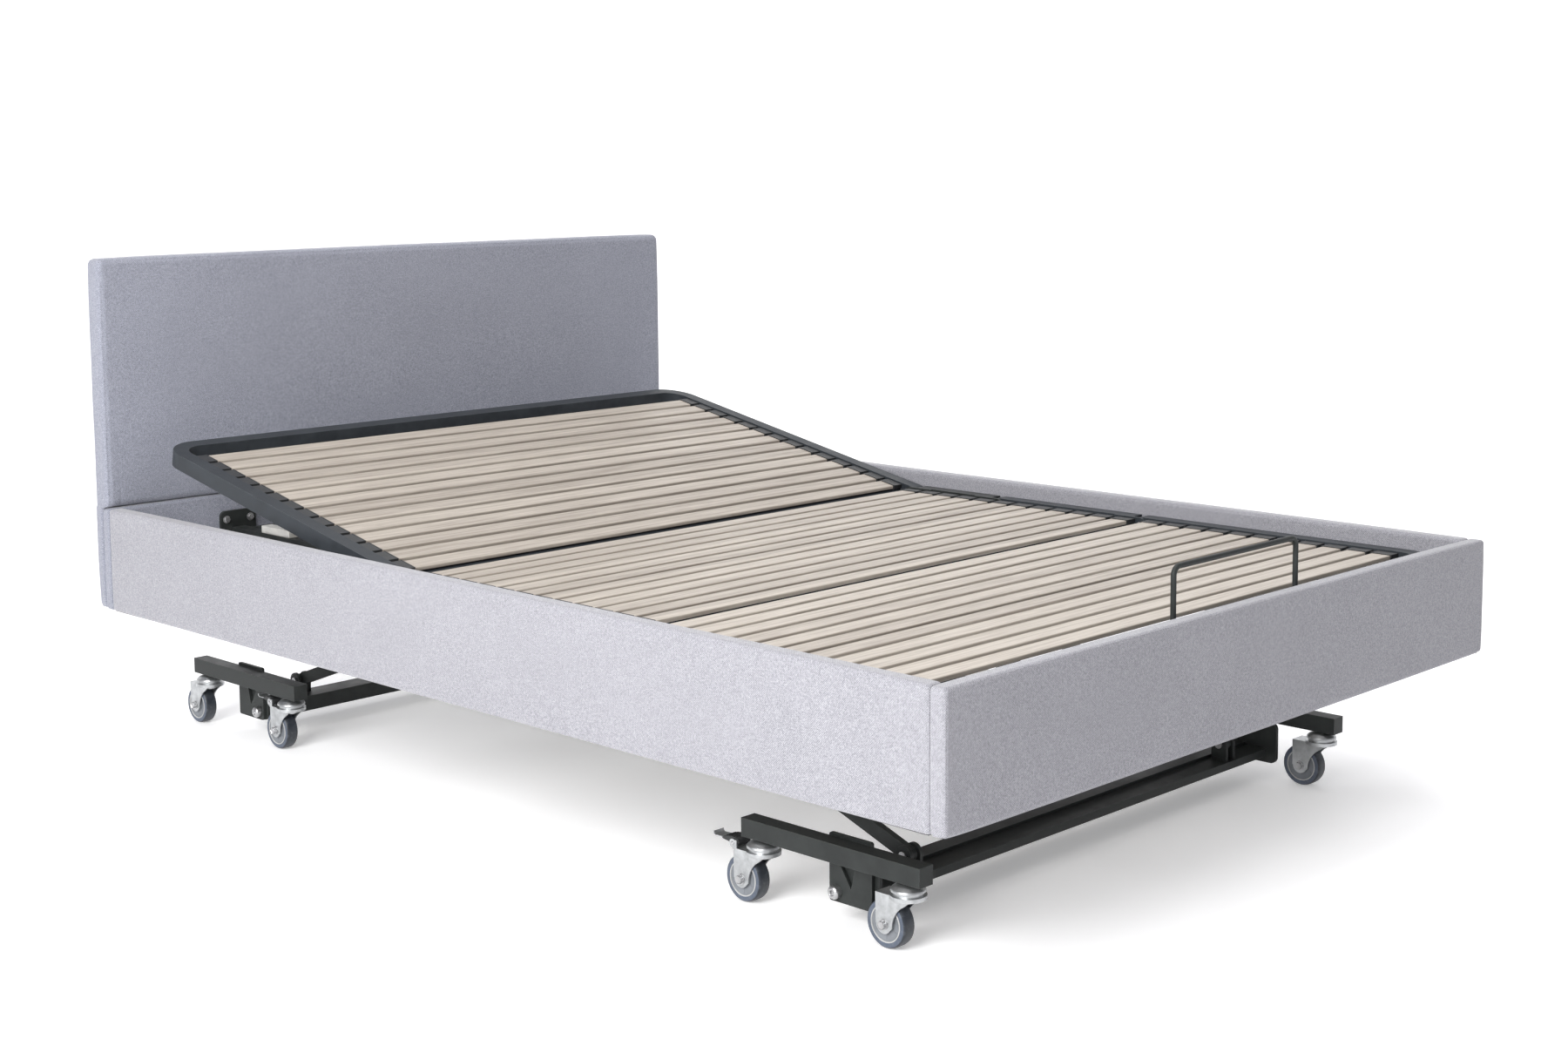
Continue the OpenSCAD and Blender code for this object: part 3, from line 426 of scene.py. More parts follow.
def add_line(data, points, cyclic):
    """One more line through the points of a curve that holds round wires."""
    spline = data.splines.new("POLY")
    spline.points.add(len(points) - 1)
    for target, p in zip(spline.points, points):
        target.co = (*p, 1)
    spline.use_cyclic_u = cyclic


def piping(name, points, radius, material, cyclic=False, resolution=3):
    """A round line of cloth through the points."""
    data = bpy.data.curves.new(name, "CURVE")
    data.dimensions = "3D"
    data.bevel_depth = radius
    data.bevel_resolution = resolution
    data.use_fill_caps = True
    add_line(data, points, cyclic)
    data.materials.append(material)
    ob = bpy.data.objects.new(name, data)
    scene.collection.objects.link(ob)
    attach(ob, "frame")


# -------------------------------------------------------------- upholstery
PANEL_EDGE_R = 0.0065
LINING_SHOWS = 0.0008


def bottom_lining(name, x, y, z):
    """The lining cloth tacked over the lower edge of a panel, which is at height z."""
    bm = bmesh.new()
    box_into(bm, (x[0], y[0], z - LINING_SHOWS), (x[1], y[1], z + 0.001))
    soften(publish(name, bm, LINING, "frame"), 0.0006, weld=0)


def panel(name, node, material, crown, seed, tucks=()):
    """An upholstered board that stands for its plain CAD solid."""
    lo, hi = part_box(node)
    thin = min(range(3), key=lambda n: hi[n] - lo[n])
    cell = [0.024] * 3
    cell[thin] = 0.006
    bm = padded_box(lo, hi, [PANEL_EDGE_R] * 3, cell, crown, seed=seed)
    for point, size, depth, axis in tucks:
        for v in bm.verts:
            away = v.co - Vector(point)
            reach = sum((away[n] / size[n]) ** 2 for n in range(3))
            if reach < 1:
                v.co[abs(axis) - 1] += math.copysign(depth, axis) * (1 - reach) ** 2
    ob = publish(name, bm, material, "frame")
    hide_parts(node)
    sub = ob.modifiers.new("smooth", "SUBSURF")
    sub.levels = sub.render_levels = 1
    return lo, hi


def hem(name, start, end, inward, material):
    """The folded edge of the cover: a thin line of cloth along a lower edge."""
    s, e = Vector(start), Vector(end)
    count = 40
    points = []
    for i in range(count + 1):
        p = s.lerp(e, i / count)
        p += Vector(inward) * (0.0002 * noise.noise(p * 30))
        p.z += 0.0003 * noise.noise(p * 11)
        points.append(p)
    piping(name, points, 0.0011, material, resolution=2)


for side, sign in (("left", -1), ("right", 1)):
    lo, hi = panel(f"{side}_side_cover", f"{side}_side_panel", FABRIC, 0.0013, 3.1 * sign)
    outer = hi.x if sign > 0 else lo.x
    hem(f"{side}_side_hem", (outer - sign * 0.0022, lo.y + 0.012, lo.z + 0.0038),
        (outer - sign * 0.0022, hi.y - 0.012, lo.z + 0.0038), (-sign, 0, 0), FABRIC)
    edges = sorted((outer - sign * 0.004, outer - sign * 0.026))
    bottom_lining(f"{side}_side_lining", edges, (lo.y + 0.004, hi.y - 0.004), lo.z)

foot_lo, foot_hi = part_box("foot_panel")
corner_tucks = [((x, foot_lo.y, foot_lo.z), (0.018, 0.018, 0.022), 0.0016, 3)
                for x in (foot_lo.x, foot_hi.x)]
panel("foot_cover", "foot_panel", FABRIC, 0.0013, 7.7, tucks=corner_tucks)
hem("foot_hem", (foot_lo.x + 0.012, foot_lo.y + 0.0022, foot_lo.z + 0.0042),
    (foot_hi.x - 0.012, foot_lo.y + 0.0022, foot_lo.z + 0.0042), (0, 1, 0), FABRIC)
bottom_lining("foot_lining", (foot_lo.x + 0.006, foot_hi.x - 0.006), (foot_lo.y + 0.006, foot_hi.y - 0.004),
              foot_lo.z)

panel("head_cover", "head_panel", FABRIC_HEAD, 0.0010, 11.3)


def headboard():
    """The tall padded headboard and its thinner lower part, covered in one piece of cloth."""
    lo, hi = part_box("headboard_cover")
    step_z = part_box("head_panel")[1].z + 0.0015
    front_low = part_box("head_panel")[1].y + 0.0003
    depth = hi.y - lo.y
    thin = (hi.y - front_low) / depth
    radius = (0.013, 0.012, 0.013)
    turn = 0.014
    tuck_x = hi.x - 0.0285
    rows = [step_z - 0.0004] + [step_z + turn * t for t in (0.0, 0.10, 0.28, 0.55, 0.85, 1.15)]
    creases = [s * (tuck_x - d) for s in (-1, 1) for d in (-0.006, -0.003, 0.0, 0.003, 0.006)]
    bm = padded_box(lo, hi, radius, (0.022, 0.010, 0.022), 0.0022, (creases, (), rows), 21.0, 0.0007)
    for v in bm.verts:
        p = v.co
        if p.z < step_z - 0.0002:
            part = thin
        else:
            up = min(1.0, (p.z - step_z) / turn)
            part = 1 - (radius[1] / depth) * (1 - math.sqrt(max(0.0, 1 - (1 - up) ** 2)))
        p.y = hi.y - max(0.0, hi.y - p.y) * part
        # mitred fold of the cloth at the two top corners, on the front
        for s in (-1, 1):
            across, down = s * p.x - (hi.x - 0.006), hi.z - 0.006 - p.z
            along, off = (down - across) / 2, abs(down + across) / math.sqrt(2)
            if p.y < lo.y + depth * 0.5 and 0 < along < 0.036 and off < 0.003:
                p.y += 0.0010 * (1 - off / 0.003)
        # short tucks above the seam, near the two ends
        for s in (-1, 1):
            side, height = abs(s * p.x - tuck_x), p.z - step_z
            if p.y < lo.y + 0.02 and 0 <= height < 0.034 and side < 0.0045:
                p.y += 0.0022 * (1 - side / 0.0045) * (1 - height / 0.034)
    ob = publish("headboard_padding", bm, FABRIC_HEAD, "frame")
    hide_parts("headboard_cover")
    sub = ob.modifiers.new("smooth", "SUBSURF")
    sub.levels = sub.render_levels = 1
    # plain lining cloth stretched over the back, with its stapled border
    left, right, bottom, top = lo.x + 0.022, hi.x - 0.022, lo.z + 0.020, hi.z - 0.026
    bm = padded_box((left, hi.y - 0.0008, bottom), (right, hi.y + 0.0010, top),
                    (0.0008, 0.0008, 0.0008), (0.030, 0.002, 0.030), 0.0, seed=4.0, ripple=0.0003)
    publish("headboard_lining", bm, LINING, "frame")
    edge = [Vector((x, hi.y, z)) for x, z in ((left, bottom), (right, bottom), (right, top), (left, top))]
    piping("headboard_welt", edge, 0.0016, FABRIC_HEAD, cyclic=True)
    staple_pitch = 0.045
    bm = bmesh.new()
    for a, b in zip(edge, edge[1:] + edge[:1]):
        run = (b - a).normalized()
        inward = Vector((0, 1, 0)).cross(run) * -1
        for n in range(1, int((b - a).length / staple_pitch)):
            c = a + run * (n * staple_pitch) + inward * 0.006
            d = run * 0.0055 + Vector((0.0004, 0.0004, 0.0004))
            d = Vector((abs(d.x), abs(d.y), abs(d.z)))
            box_into(bm, (c.x - d.x, hi.y + 0.0006, c.z - d.z), (c.x + d.x, hi.y + 0.0014, c.z + d.z))
    publish("headboard_staples", bm, BOLT, "frame", smooth=False)


headboard()

# --------------------------------------------------------- kept CAD pieces
# Finish, edge radius, bevel segments, and the nodes that have them
FINISHES = (
    (DECK_STEEL, 0.0016, 3, ("head_section_frame", "thigh_frame", "foot_section_frame")),
    (BASE_STEEL, 0.0016, 3, ("main_frame", "foot_leg", "head_leg", "foot_cross_beam", "head_cross_beam",
                             "foot_skates", "head_skates", "panel_brackets", "mattress_retainer")),
    (WOOD, 0.0022, 3, ("seat_slats", "head_slats", "thigh_slats", "foot_slats")),
    (WOOD, 0.0008, 2, ("panel_boards",)),
    (BOLT, 0.0004, 2, ("pivot_pins", "knee_pins", "panel_bolts", "foot_base_bolts", "head_base_bolts")),
    (NYLON, 0.0006, 2, ("deck_glides",)),
    (PLASTIC, 0.0016, 3, ("control_box", "head_actuator", "thigh_actuator", "foot_lift_actuator",
                          "head_lift_actuator")),
    (ZINC, 0.0005, 2, ("head_actuator_rod", "thigh_actuator_rod", "foot_lift_rod", "head_lift_rod")),
    (ZINC, 0.0010, 3, ("foot_castor_stems", "head_castor_stems")),
    (ZINC, 0.0006, 2, tuple(name for name in nodes if name.startswith("fork_"))),
)
for material, width, segments, names in FINISHES:
    for name in names:
        dress(name, material, width, segments)


# ------------------------------------------------------------------ wheels
def hardware_mesh(name, build, materials, sharp=35):
    """A mesh that several pieces share, with its edges kept sharp above an angle in degrees."""
    bm = bmesh.new()
    build(bm)
    bmesh.ops.recalc_face_normals(bm, faces=bm.faces)
    mesh = bpy.data.meshes.new(name)
    bm.to_mesh(mesh)
    bm.free()
    for f in mesh.polygons:
        f.use_smooth = True
    mesh.set_sharp_from_angle(angle=math.radians(sharp))
    for m in materials:
        mesh.materials.append(m)
    return mesh


def wheel(bm):
    """One castor wheel about its own axle: soft tyre, pale ring line, ribbed hub and bearing."""
    half = 0.0125
    outer = 0.0375
    tread = [(0.0285, -half + 0.0006), (0.0330, -half), (0.0352, -half + 0.0006), (0.0368, -half + 0.0022),
             (0.0374, -half + 0.0048), (outer, -0.003), (outer, 0.003), (0.0374, half - 0.0048),
             (0.0368, half - 0.0022), (0.0352, half - 0.0006), (0.0330, half), (0.0285, half - 0.0006)]
    lathe(bm, tread[2:10], "x", steps=56, material=0)
    lathe(bm, tread[:3], "x", steps=56, material=1)
    lathe(bm, tread[9:], "x", steps=56, material=1)
    for s in (-1, 1):
        ring = [(0.0285, s * (half - 0.0006)), (0.0282, s * (half + 0.0001)), (0.0268, s * (half + 0.0001)),
                (0.0265, s * (half - 0.0012))]
        hub = [(0.0265, s * (half - 0.0012)), (0.0240, s * (half - 0.0022)), (0.0150, s * (half - 0.0022)),
               (0.0142, s * (half - 0.0002)), (0.0100, s * (half - 0.0002)), (0.0094, s * (half - 0.0010)),
               (0.0045, s * (half - 0.0010)), (0.0, s * (half - 0.0010))]
        lathe(bm, ring, "x", steps=56, material=2)
        lathe(bm, hub, "x", steps=56, material=3)
        for n in range(6):
            rib = s * (half - 0.0026)
            made = box_into(bm, (rib - 0.0008, -0.0012, 0.0146), (rib + 0.0008, 0.0012, 0.0262), 3)
            turn = Matrix.Rotation(math.pi / 3 * n, 3, "X")
            bmesh.ops.rotate(bm, verts=made, cent=(0, 0, 0), matrix=turn)


def copy_at(name, mesh, place, body, turn=0.0):
    """A piece that shares the mesh, at its place and turned about Z."""
    ob = bpy.data.objects.new(name, mesh)
    ob.location = place
    ob.rotation_euler = (0, 0, turn)
    scene.collection.objects.link(ob)
    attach(ob, body)
    return ob


def hexagon(bm, radius, low, high):
    """A hexagon head about X with a chamfered top."""
    chamfer = 0.0006
    outline = [(0.0, low), (radius, low), (radius, high - chamfer), (radius - chamfer, high), (0.0, high)]
    lathe(bm, outline, "x", steps=6)


def axle_hardware(bm):
    """Bolt head with washer on one cheek and a nylon-insert nut on the other, about the axle."""
    for s in (-1, 1):
        face = s * 0.0166
        washer = [(0.0, face), (0.0085, face), (0.0085, face + s * 0.0012), (0.0, face + s * 0.0012)]
        lathe(bm, washer, "x", steps=28)
        hexagon(bm, 0.0066, face + s * 0.0012, face + s * 0.0058)
    thread_end = [(0.0, 0.0224), (0.0048, 0.0224), (0.0048, 0.0242), (0.0026, 0.0246), (0.0, 0.0246)]
    lathe(bm, thread_end, "x", steps=24)
    lathe(bm, [(0.0, -0.0166), (0.0055, -0.0166), (0.0055, 0.0166), (0.0, 0.0166)], "x", steps=20)


WHEEL = hardware_mesh("castor_wheel", wheel, [TYRE, TYRE_SIDE, RING, HUB], 38)
AXLE = hardware_mesh("axle_bolt", axle_hardware, [BOLT])
for end in ("foot", "head"):
    for side in ("left", "right"):
        for spot in ("out", "in"):
            key = f"{end}_{side}_{spot}"
            lo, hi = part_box(f"wheel_{key}")
            centre = (lo + hi) / 2
            piece = copy_at(f"castor_wheel_{key}", WHEEL, centre, f"wheel_{key}")
            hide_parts(f"wheel_{key}")
            copy_at(f"axle_bolt_{key}", AXLE, centre, f"castor_{key}")


# ------------------------------------------------------------ castor brakes
CASTOR_TRAIL = 0.034
PEDAL_PIN = (0.052, 0.091)


def extrude_profile(bm, outline, half, material=0):
    """A (y, z) outline given thickness along X, with its two sides closed."""
    near = [bm.verts.new((-half, y, z)) for y, z in outline]
    far = [bm.verts.new((half, y, z)) for y, z in outline]
    bm.faces.new(near).material_index = material
    bm.faces.new(list(reversed(far))).material_index = material
    for i in range(len(outline)):
        j = (i + 1) % len(outline)
        bm.faces.new((near[i], far[i], far[j], near[j])).material_index = material


def pedal_shape(bm):
    """Wedge of black plastic over the fork's pin, and the steel tread plate that is stepped on."""
    wedge = [(0.0410, 0.0925), (0.0430, 0.0972), (0.0480, 0.0998), (0.0560, 0.1006), (0.0660, 0.0996),
             (0.0760, 0.0968), (0.0790, 0.0948), (0.0785, 0.0926), (0.0620, 0.0900), (0.0570, 0.0862),
             (0.0500, 0.0850), (0.0440, 0.0868)]
    extrude_profile(bm, wedge, 0.0128)
    for n in range(5):
        y = 0.0500 + n * 0.0052
        z = 0.1004 - 0.0004 * max(0, n - 2) ** 2
        box_into(bm, (-0.0105, y - 0.0009, z - 0.001), (0.0105, y + 0.0009, z + 0.0007))
    tread = [(0.0700, 0.0931), (0.0965, 0.0931), (0.1000, 0.0950), (0.1000, 0.0996), (0.0986, 0.0999),
             (0.0980, 0.0960), (0.0955, 0.0948), (0.0700, 0.0958)]
    extrude_profile(bm, tread, 0.0112, 1)
    pin = [(0.0, -0.0134), (0.0050, -0.0134), (0.0050, 0.0134), (0.0, 0.0134)]
    lathe(bm, pin, "x", (0, *PEDAL_PIN), 20, 1)


def rivet_heads(bm):
    """Domed heads of the pedal's pin, one outside each cheek of the fork."""
    for s in (-1, 1):
        dome = [(0.0, 0.0165), (0.0032, 0.0165), (0.0029, 0.0176), (0.0016, 0.0183), (0.0, 0.0185)]
        lathe(bm, [(radius, s * height) for radius, height in dome], "x", steps=20)


PEDAL = hardware_mesh("brake_pedal", pedal_shape, [PLASTIC, ZINC], 30)
RIVET = hardware_mesh("fork_rivet", rivet_heads, [BOLT])
for end in ("foot", "head"):
    for side in ("left", "right"):
        key = f"{end}_{side}_in"
        lo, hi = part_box(f"wheel_{key}")
        axis = Vector(((lo.x + hi.x) / 2, (lo.y + hi.y) / 2 - CASTOR_TRAIL, 0))
        piece = copy_at(f"brake_pedal_{end}_{side}", PEDAL, axis, f"pedal_{end}_{side}")
        soften(piece, 0.0007, 2, 0)
        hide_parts(f"brake_{end}_{side}")
        pin = axis + Vector((0, *PEDAL_PIN))
        copy_at(f"brake_rivets_{end}_{side}", RIVET, pin, f"castor_{key}")


# ----------------------------------------------------- slat ends and welds
# The head section stands raised as the bed rests: turned about its hinge from flat
HEAD_HINGE = Matrix.Translation((0, 0.170, 0.420))
HEAD_TILT = HEAD_HINGE @ Matrix.Rotation(math.radians(11.5), 4, "X") @ HEAD_HINGE.inverted()


def slat_spans(node, tilted):
    """Where each slat of a row starts and ends along the deck, from the CAD node itself."""
    turn = HEAD_TILT.inverted() if tilted else Matrix.Identity(4)
    points = [turn @ v.co for v in nodes[node].data.vertices]
    lines = sorted({round(p.y, 4) for p in points})
    joined = []
    for y in lines:
        if not joined or y - joined[-1] > 0.002:
            joined.append(y)
    half = max(p.x for p in points)
    z = [min(p.z for p in points), max(p.z for p in points)]
    return list(zip(joined[::2], joined[1::2])), half, z


def slat_sleeves(node, body, tilted=False):
    """Black sleeves that hold the slats' ends, each with a small lip round its inner end."""
    spans, half, z = slat_spans(node, tilted)
    bm = bmesh.new()
    for lo_y, hi_y in spans:
        for s in (-1, 1):
            sleeve = sorted((s * (half - 0.026), s * (half + 0.0002)))
            box_into(bm, (sleeve[0], lo_y - 0.0014, z[0] - 0.0014), (sleeve[1], hi_y + 0.0014, z[1] + 0.0012))
            start = s * (half - 0.027)
            lip = sorted((start, start + s * 0.003))
            box_into(bm, (lip[0], lo_y - 0.0020, z[0] - 0.0020), (lip[1], hi_y + 0.0020, z[1] + 0.0017))
    ob = publish(f"{node}_sleeves", bm, PLASTIC, "frame")
    if tilted:
        ob.matrix_world = HEAD_TILT
    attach(ob, body)
    soften(ob, 0.0008, 2, 0)


slat_sleeves("seat_slats", "frame")
slat_sleeves("thigh_slats", "thigh_section")
slat_sleeves("foot_slats", "foot_section")
slat_sleeves("head_slats", "head_section", True)


def weld_beads(name, seams, material, body, tilted=False):
    """Weld beads round the ends of tubes along X: (x, y, z, half depth, half height) each."""
    data = bpy.data.curves.new(name, "CURVE")
    data.dimensions = "3D"
    data.bevel_depth = 0.0016
    data.bevel_resolution = 2
    for x, y, z, a, b in seams:
        ring = []
        corners = [(-a, -b), (a, -b), (a, b), (-a, b)]
        for c, d in zip(corners, corners[1:] + corners[:1]):
            for i in range(10):
                p = Vector((x, y + c[0] + (d[0] - c[0]) * i / 10, z + c[1] + (d[1] - c[1]) * i / 10))
                wave = 0.0003 * noise.noise(p * 260)
                ring.append(p + Vector((wave, wave, 0.0003 * math.sin(i * 1.9))))
        add_line(data, ring, True)
    data.materials.append(material)
    ob = bpy.data.objects.new(name, data)
    scene.collection.objects.link(ob)
    if tilted:
        ob.matrix_world = HEAD_TILT
    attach(ob, body)


# Where the frame's tubes meet: X of the faces they end on, Y of the tubes across, and heights
DECK_INSIDE, CROSS_Z = 0.6595, 0.4125
RAIL_INSIDE, RAIL_OUTSIDE = 0.4395, 0.4705
CROSS_MEMBERS = (-1.035, -0.6230, -0.2000, 0.2973, 0.7270, 1.016)
OUTRIGGERS = (-0.760, -0.060, 0.640)
BASES = (("foot", -0.738), ("head", 0.842))
BASE_BOLT_Z = 0.051
for name, body, rows, tilted in (("seat_welds", "frame", (-0.010, 0.110), False),
                                 ("head_welds", "head_section", (0.210, 0.570), True),
                                 ("thigh_welds", "thigh_section", (-0.110, -0.385), False),
                                 ("foot_welds", "foot_section", (-0.475, -0.745), False)):
    seams = [(s * DECK_INSIDE, y, CROSS_Z, 0.015, 0.0075) for s in (-1, 1) for y in rows]
    weld_beads(name, seams, DECK_STEEL, body, tilted)
seams = [(s * RAIL_INSIDE, y, 0.365, 0.015, 0.025) for s in (-1, 1) for y in CROSS_MEMBERS]
seams += [(s * RAIL_OUTSIDE, y, 0.360, 0.015, 0.015) for s in (-1, 1) for y in OUTRIGGERS]
weld_beads("frame_welds", seams, BASE_STEEL, "frame")
for end, y in BASES:
    seams = [(s * 0.5405, y, BASE_BOLT_Z, 0.017, 0.015) for s in (-1, 1)]
    weld_beads(f"{end}_beam_welds", seams, BASE_STEEL, f"{end}_base")


# ------------------------------------------------------------- bolt details
def button_head(bm):
    """Domed socket screw about X, its flange at 0 and its dome on the +X side."""
    dome = [(0.0, 0.0), (0.0106, 0.0), (0.0106, 0.0010), (0.0099, 0.0026), (0.0080, 0.0042), (0.0056, 0.0050),
            (0.0047, 0.0050)]
    lathe(bm, dome, "x", steps=36)
    lathe(bm, [(0.0047, 0.0050), (0.0042, 0.0046), (0.0042, 0.0012), (0.0, 0.0012)], "x", steps=6)


BUTTON = hardware_mesh("button_head", button_head, [BOLT], 50)
for end, y in BASES:
    for side, sign in (("left", -1), ("right", 1)):
        copy_at(f"skate_bolt_{end}_{side}", BUTTON, (sign * 0.5620, y, BASE_BOLT_Z), f"{end}_base",
                0.0 if sign > 0 else math.pi)


# -------------------------------------------------------------- actuators
MOTOR_X = 0.038


def actuator_trim(bm):
    """Split line, screws, motor cap, fins and rod wiper of an actuator along +Y from its rear pin."""
    box_into(bm, (-0.0304, 0.0196, -0.0006), (0.0624, 0.0924, 0.0006))
    for x in (-0.0235, 0.0555):
        for z in (-0.0235, 0.0235):
            screw = [(0.0, 0.0190), (0.0034, 0.0190), (0.0034, 0.0200), (0.0, 0.0200)]
            lathe(bm, screw, "y", (x, 0, z), 18, 1)
    for y in (0.034, 0.078):
        for x in (-0.022, 0.054):
            for s in (-1, 1):
                screw = [(0.0, s * 0.0306), (0.0036, s * 0.0306), (0.0040, s * 0.0299), (0.0, s * 0.0299)]
                lathe(bm, screw, "z", (x, y, 0), 18, 1)
    cap = [(0.0, 0.178), (0.0222, 0.178), (0.0230, 0.180), (0.0230, 0.186), (0.0215, 0.1885), (0.0, 0.1885)]
    lathe(bm, cap, "y", (MOTOR_X, 0, 0))
    for n in range(7):
        y = 0.102 + n * 0.011
        fin = [(0.0, y), (0.0219, y), (0.0226, y + 0.0012), (0.0226, y + 0.0038), (0.0219, y + 0.005),
               (0.0, y + 0.005)]
        lathe(bm, fin, "y", (MOTOR_X, 0, 0))
    wiper = [(0.0106, 0.2720), (0.0169, 0.2720), (0.0186, 0.2735), (0.0186, 0.2845), (0.0172, 0.2862),
             (0.0106, 0.2862), (0.0106, 0.2720)]
    lathe(bm, wiper, "y")
    lathe(bm, [(0.0169, 0.0925), (0.0200, 0.0925), (0.0200, 0.100), (0.0169, 0.104), (0.0169, 0.0925)], "y")


TRIM = hardware_mesh("actuator_trim", actuator_trim, [PLASTIC_GREY, BOLT], 30)
for name in ("head_actuator", "thigh_actuator", "foot_lift_actuator", "head_lift_actuator"):
    lo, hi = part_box(name)
    backwards = name in ("thigh_actuator", "head_lift_actuator")
    pin_y = hi.y - 0.012 if backwards else lo.y + 0.012
    pin_x = hi.x - 0.030 if backwards else lo.x + 0.030
    copy_at(f"{name}_trim", TRIM, (pin_x, pin_y, (lo.z + hi.z) / 2), "frame",
            math.pi if backwards else 0.0)


def box_trim():
    """Lid line, screws and a row of small ribs on the control box."""
    lo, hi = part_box("control_box")
    bm = bmesh.new()
    mid = hi.z - 0.012
    box_into(bm, (lo.x + 0.001, lo.y - 0.0006, mid - 0.0007), (hi.x + 0.0006, hi.y - 0.001, mid + 0.0007))
    for x in (lo.x + 0.012, hi.x - 0.012):
        for y in (lo.y + 0.012, hi.y - 0.012):
            screw = [(0.0, lo.z - 0.0006), (0.0038, lo.z - 0.0006), (0.0042, lo.z + 0.0002),
                     (0.0, lo.z + 0.0002)]
            lathe(bm, screw, "z", (x, y, 0), 18, 1)
    for n in range(9):
        x = lo.x + 0.050 + n * 0.015
        box_into(bm, (x - 0.002, lo.y - 0.0009, lo.z + 0.008), (x + 0.002, lo.y + 0.001, lo.z + 0.024))
    ob = publish("control_box_trim", bm, [PLASTIC_GREY, BOLT], "frame", smooth=False)
    soften(ob, 0.0003, 1, 0)


box_trim()


# ------------------------------------------------------------- stage, light
def ground():
    """A pale floor that runs up into a lit white wall behind, with no visible corner."""
    bm = bmesh.new()
    reach, flat_to, curve, top = 22.0, 7.0, 4.0, 14.0
    profile = [(-reach, 0.0), (flat_to, 0.0)]
    for i in range(1, 13):
        a = math.pi / 2 * i / 12
        profile.append((flat_to + curve * math.sin(a), curve - curve * math.cos(a)))
    profile.append((flat_to + curve, top))
    ahead = Vector((math.sin(YAW), math.cos(YAW), 0))
    aside = Vector((math.cos(YAW), -math.sin(YAW), 0))
    rows = [[bm.verts.new(ahead * d + aside * s + Vector((0, 0, z))) for s in (-reach, reach)]
            for d, z in profile]
    for a, b in zip(rows, rows[1:]):
        bm.faces.new((a[0], a[1], b[1], b[0]))
    bmesh.ops.recalc_face_normals(bm, faces=bm.faces)
    mesh = bpy.data.meshes.new("studio_floor")
    bm.to_mesh(mesh)
    bm.free()
    for f in mesh.polygons:
        f.use_smooth = True
    t = Tree("studio_paper", (0.90, 0.90, 0.91), 0.75, Specular_IOR_Level=0.2)
    # The lamps light only the middle, so the paper far from the bed glows more to stay as white
    x, y, z = t.split(t.place)
    away = t.math("SQRT", t.math("ADD", t.math("MULTIPLY", x, x), t.math("MULTIPLY", y, y)))
    glow = t.math("MAXIMUM", t.ramp(z, 0.0, 0.8, 0.27, 0.52), t.ramp(away, 3.5, 9.0, 0.27, 0.60))
    t.put(t.shader.inputs["Emission Strength"], glow)
    t.shader.inputs["Emission Color"].default_value = (1, 1, 1, 1)
    t.color(t.mix(t.ramp(t.noise(0.8, 3.0, 0.5), 0.3, 0.7), (0.89, 0.89, 0.90), (0.92, 0.92, 0.925)))
    mesh.materials.append(t.mat)
    floor = bpy.data.objects.new("studio_floor", mesh)
    scene.collection.objects.link(floor)
    # The castors stay on the floor when the legs raise or lower the bed
    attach(floor, "foot_base")


def soft_light(name, place, aim, size, watts, tint=(1, 1, 1)):
    data = bpy.data.lights.new(name, "AREA")
    data.shape = "RECTANGLE"
    data.size, data.size_y = size
    data.energy = watts
    data.color = tint
    ob = bpy.data.objects.new(name, data)
    ob.location = place
    ob.rotation_euler = (Vector(aim) - Vector(place)).to_track_quat("-Z", "Y").to_euler()
    scene.collection.objects.link(ob)


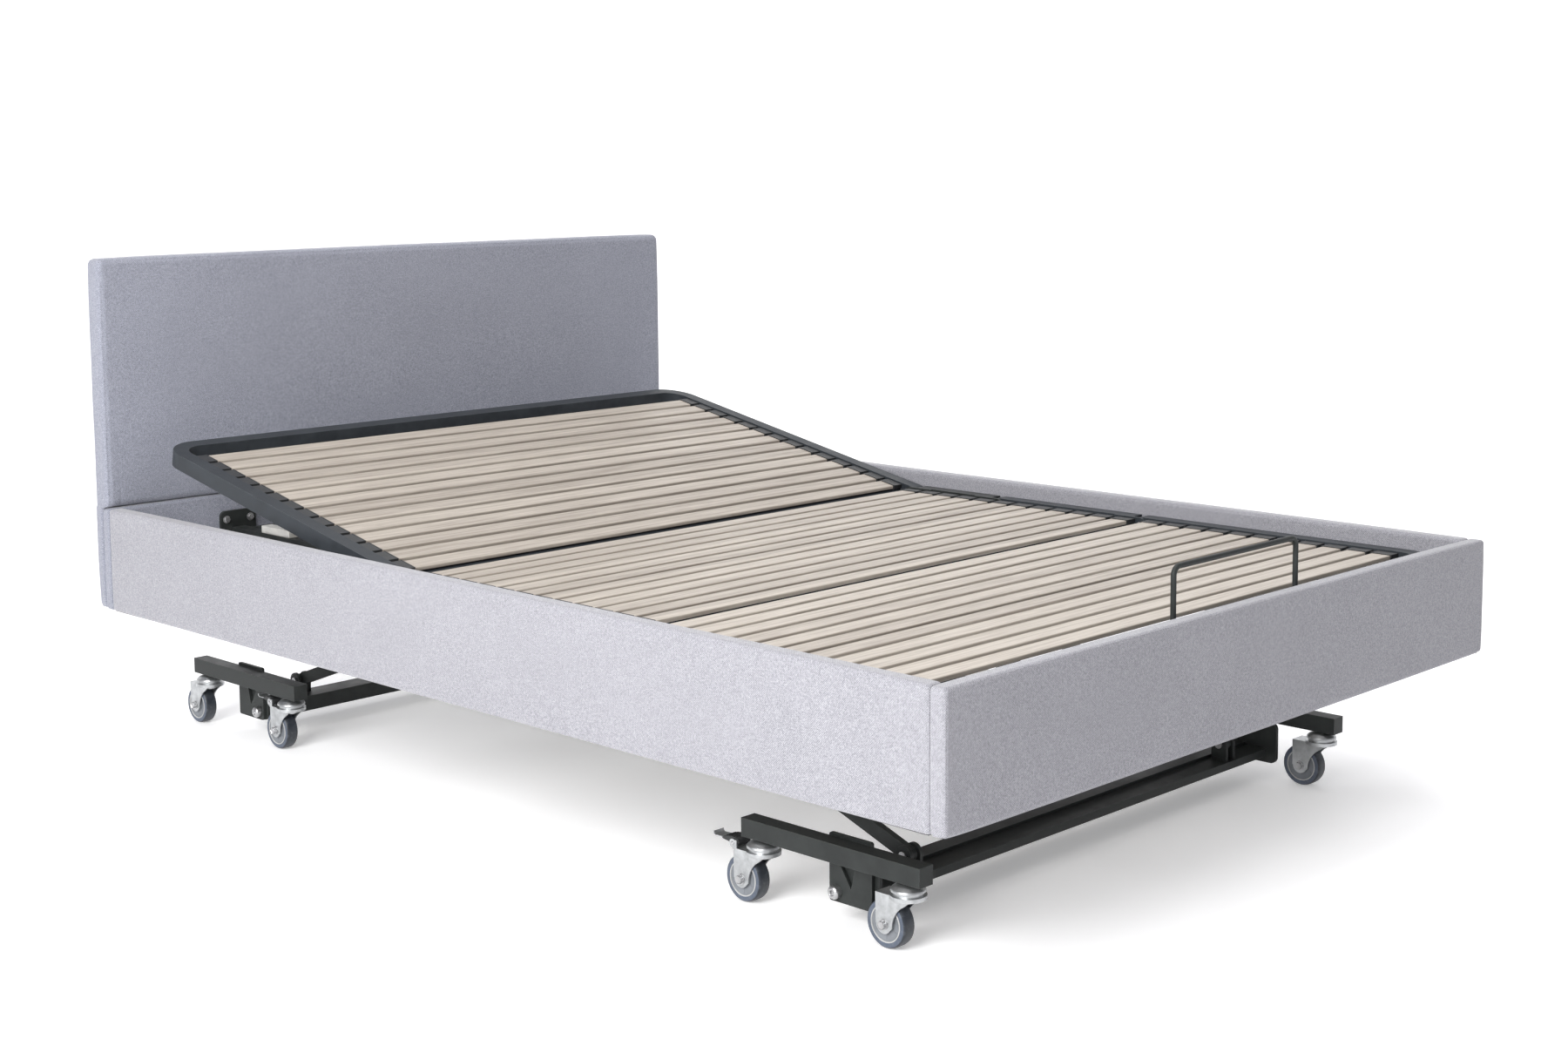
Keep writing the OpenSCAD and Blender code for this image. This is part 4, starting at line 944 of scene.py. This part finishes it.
# The camera's place and aim, fitted to the straight edges of the bed
YAW, PITCH, ROLL = (math.radians(a) for a in (45.65, -6.49, -0.43))
EYE = Vector((-2.906, -2.933, 1.161))
ground()
soft_light("key", (-4.4, -1.3, 2.4), (-0.4, -0.5, 0.3), (2.8, 2.6), 285, (1.0, 1.0, 0.99))
soft_light("fill", (1.5, -7.5, 2.6), (0, -0.5, 0.4), (4.0, 3.0), 4, (0.97, 0.98, 1.0))
soft_light("top", (0.5, 0.5, 6.5), (0, 0, 0), (6.0, 6.0), 300)

world = bpy.data.worlds.new("studio")
scene.world = world
world.use_nodes = True
sky = world.node_tree.nodes["Background"]
sky.inputs[0].default_value = (0.96, 0.945, 0.99, 1)
sky.inputs[1].default_value = 0.32
# Past the paper's edge the studio is plain white to the eye, and gives no more light
white = world.node_tree.nodes.new("ShaderNodeBackground")
white.inputs[0].default_value = (1, 1, 1, 1)
white.inputs[1].default_value = 1.0
seen = world.node_tree.nodes.new("ShaderNodeLightPath")
either = world.node_tree.nodes.new("ShaderNodeMixShader")
world.node_tree.links.new(seen.outputs["Is Camera Ray"], either.inputs[0])
world.node_tree.links.new(sky.outputs[0], either.inputs[1])
world.node_tree.links.new(white.outputs[0], either.inputs[2])
world.node_tree.links.new(either.outputs[0], world.node_tree.nodes["World Output"].inputs[0])
scene.view_settings.view_transform = "Standard"

forward = Vector((math.sin(YAW) * math.cos(PITCH), math.cos(YAW) * math.cos(PITCH), math.sin(PITCH)))
right = Vector((math.cos(YAW), -math.sin(YAW), 0))
up = right.cross(forward)
right_rolled = right * math.cos(ROLL) + up * math.sin(ROLL)
up_rolled = up * math.cos(ROLL) - right * math.sin(ROLL)
camera_data = bpy.data.cameras.new("camera")
camera_data.lens = 50.63
camera_data.sensor_width = 36
camera_data.shift_y = -0.078
camera_data.clip_end = 100
camera = bpy.data.objects.new("camera", camera_data)
camera.matrix_world = Matrix((
    (right_rolled.x, up_rolled.x, -forward.x, EYE.x),
    (right_rolled.y, up_rolled.y, -forward.y, EYE.y),
    (right_rolled.z, up_rolled.z, -forward.z, EYE.z),
    (0, 0, 0, 1)))
scene.collection.objects.link(camera)
scene.camera = camera
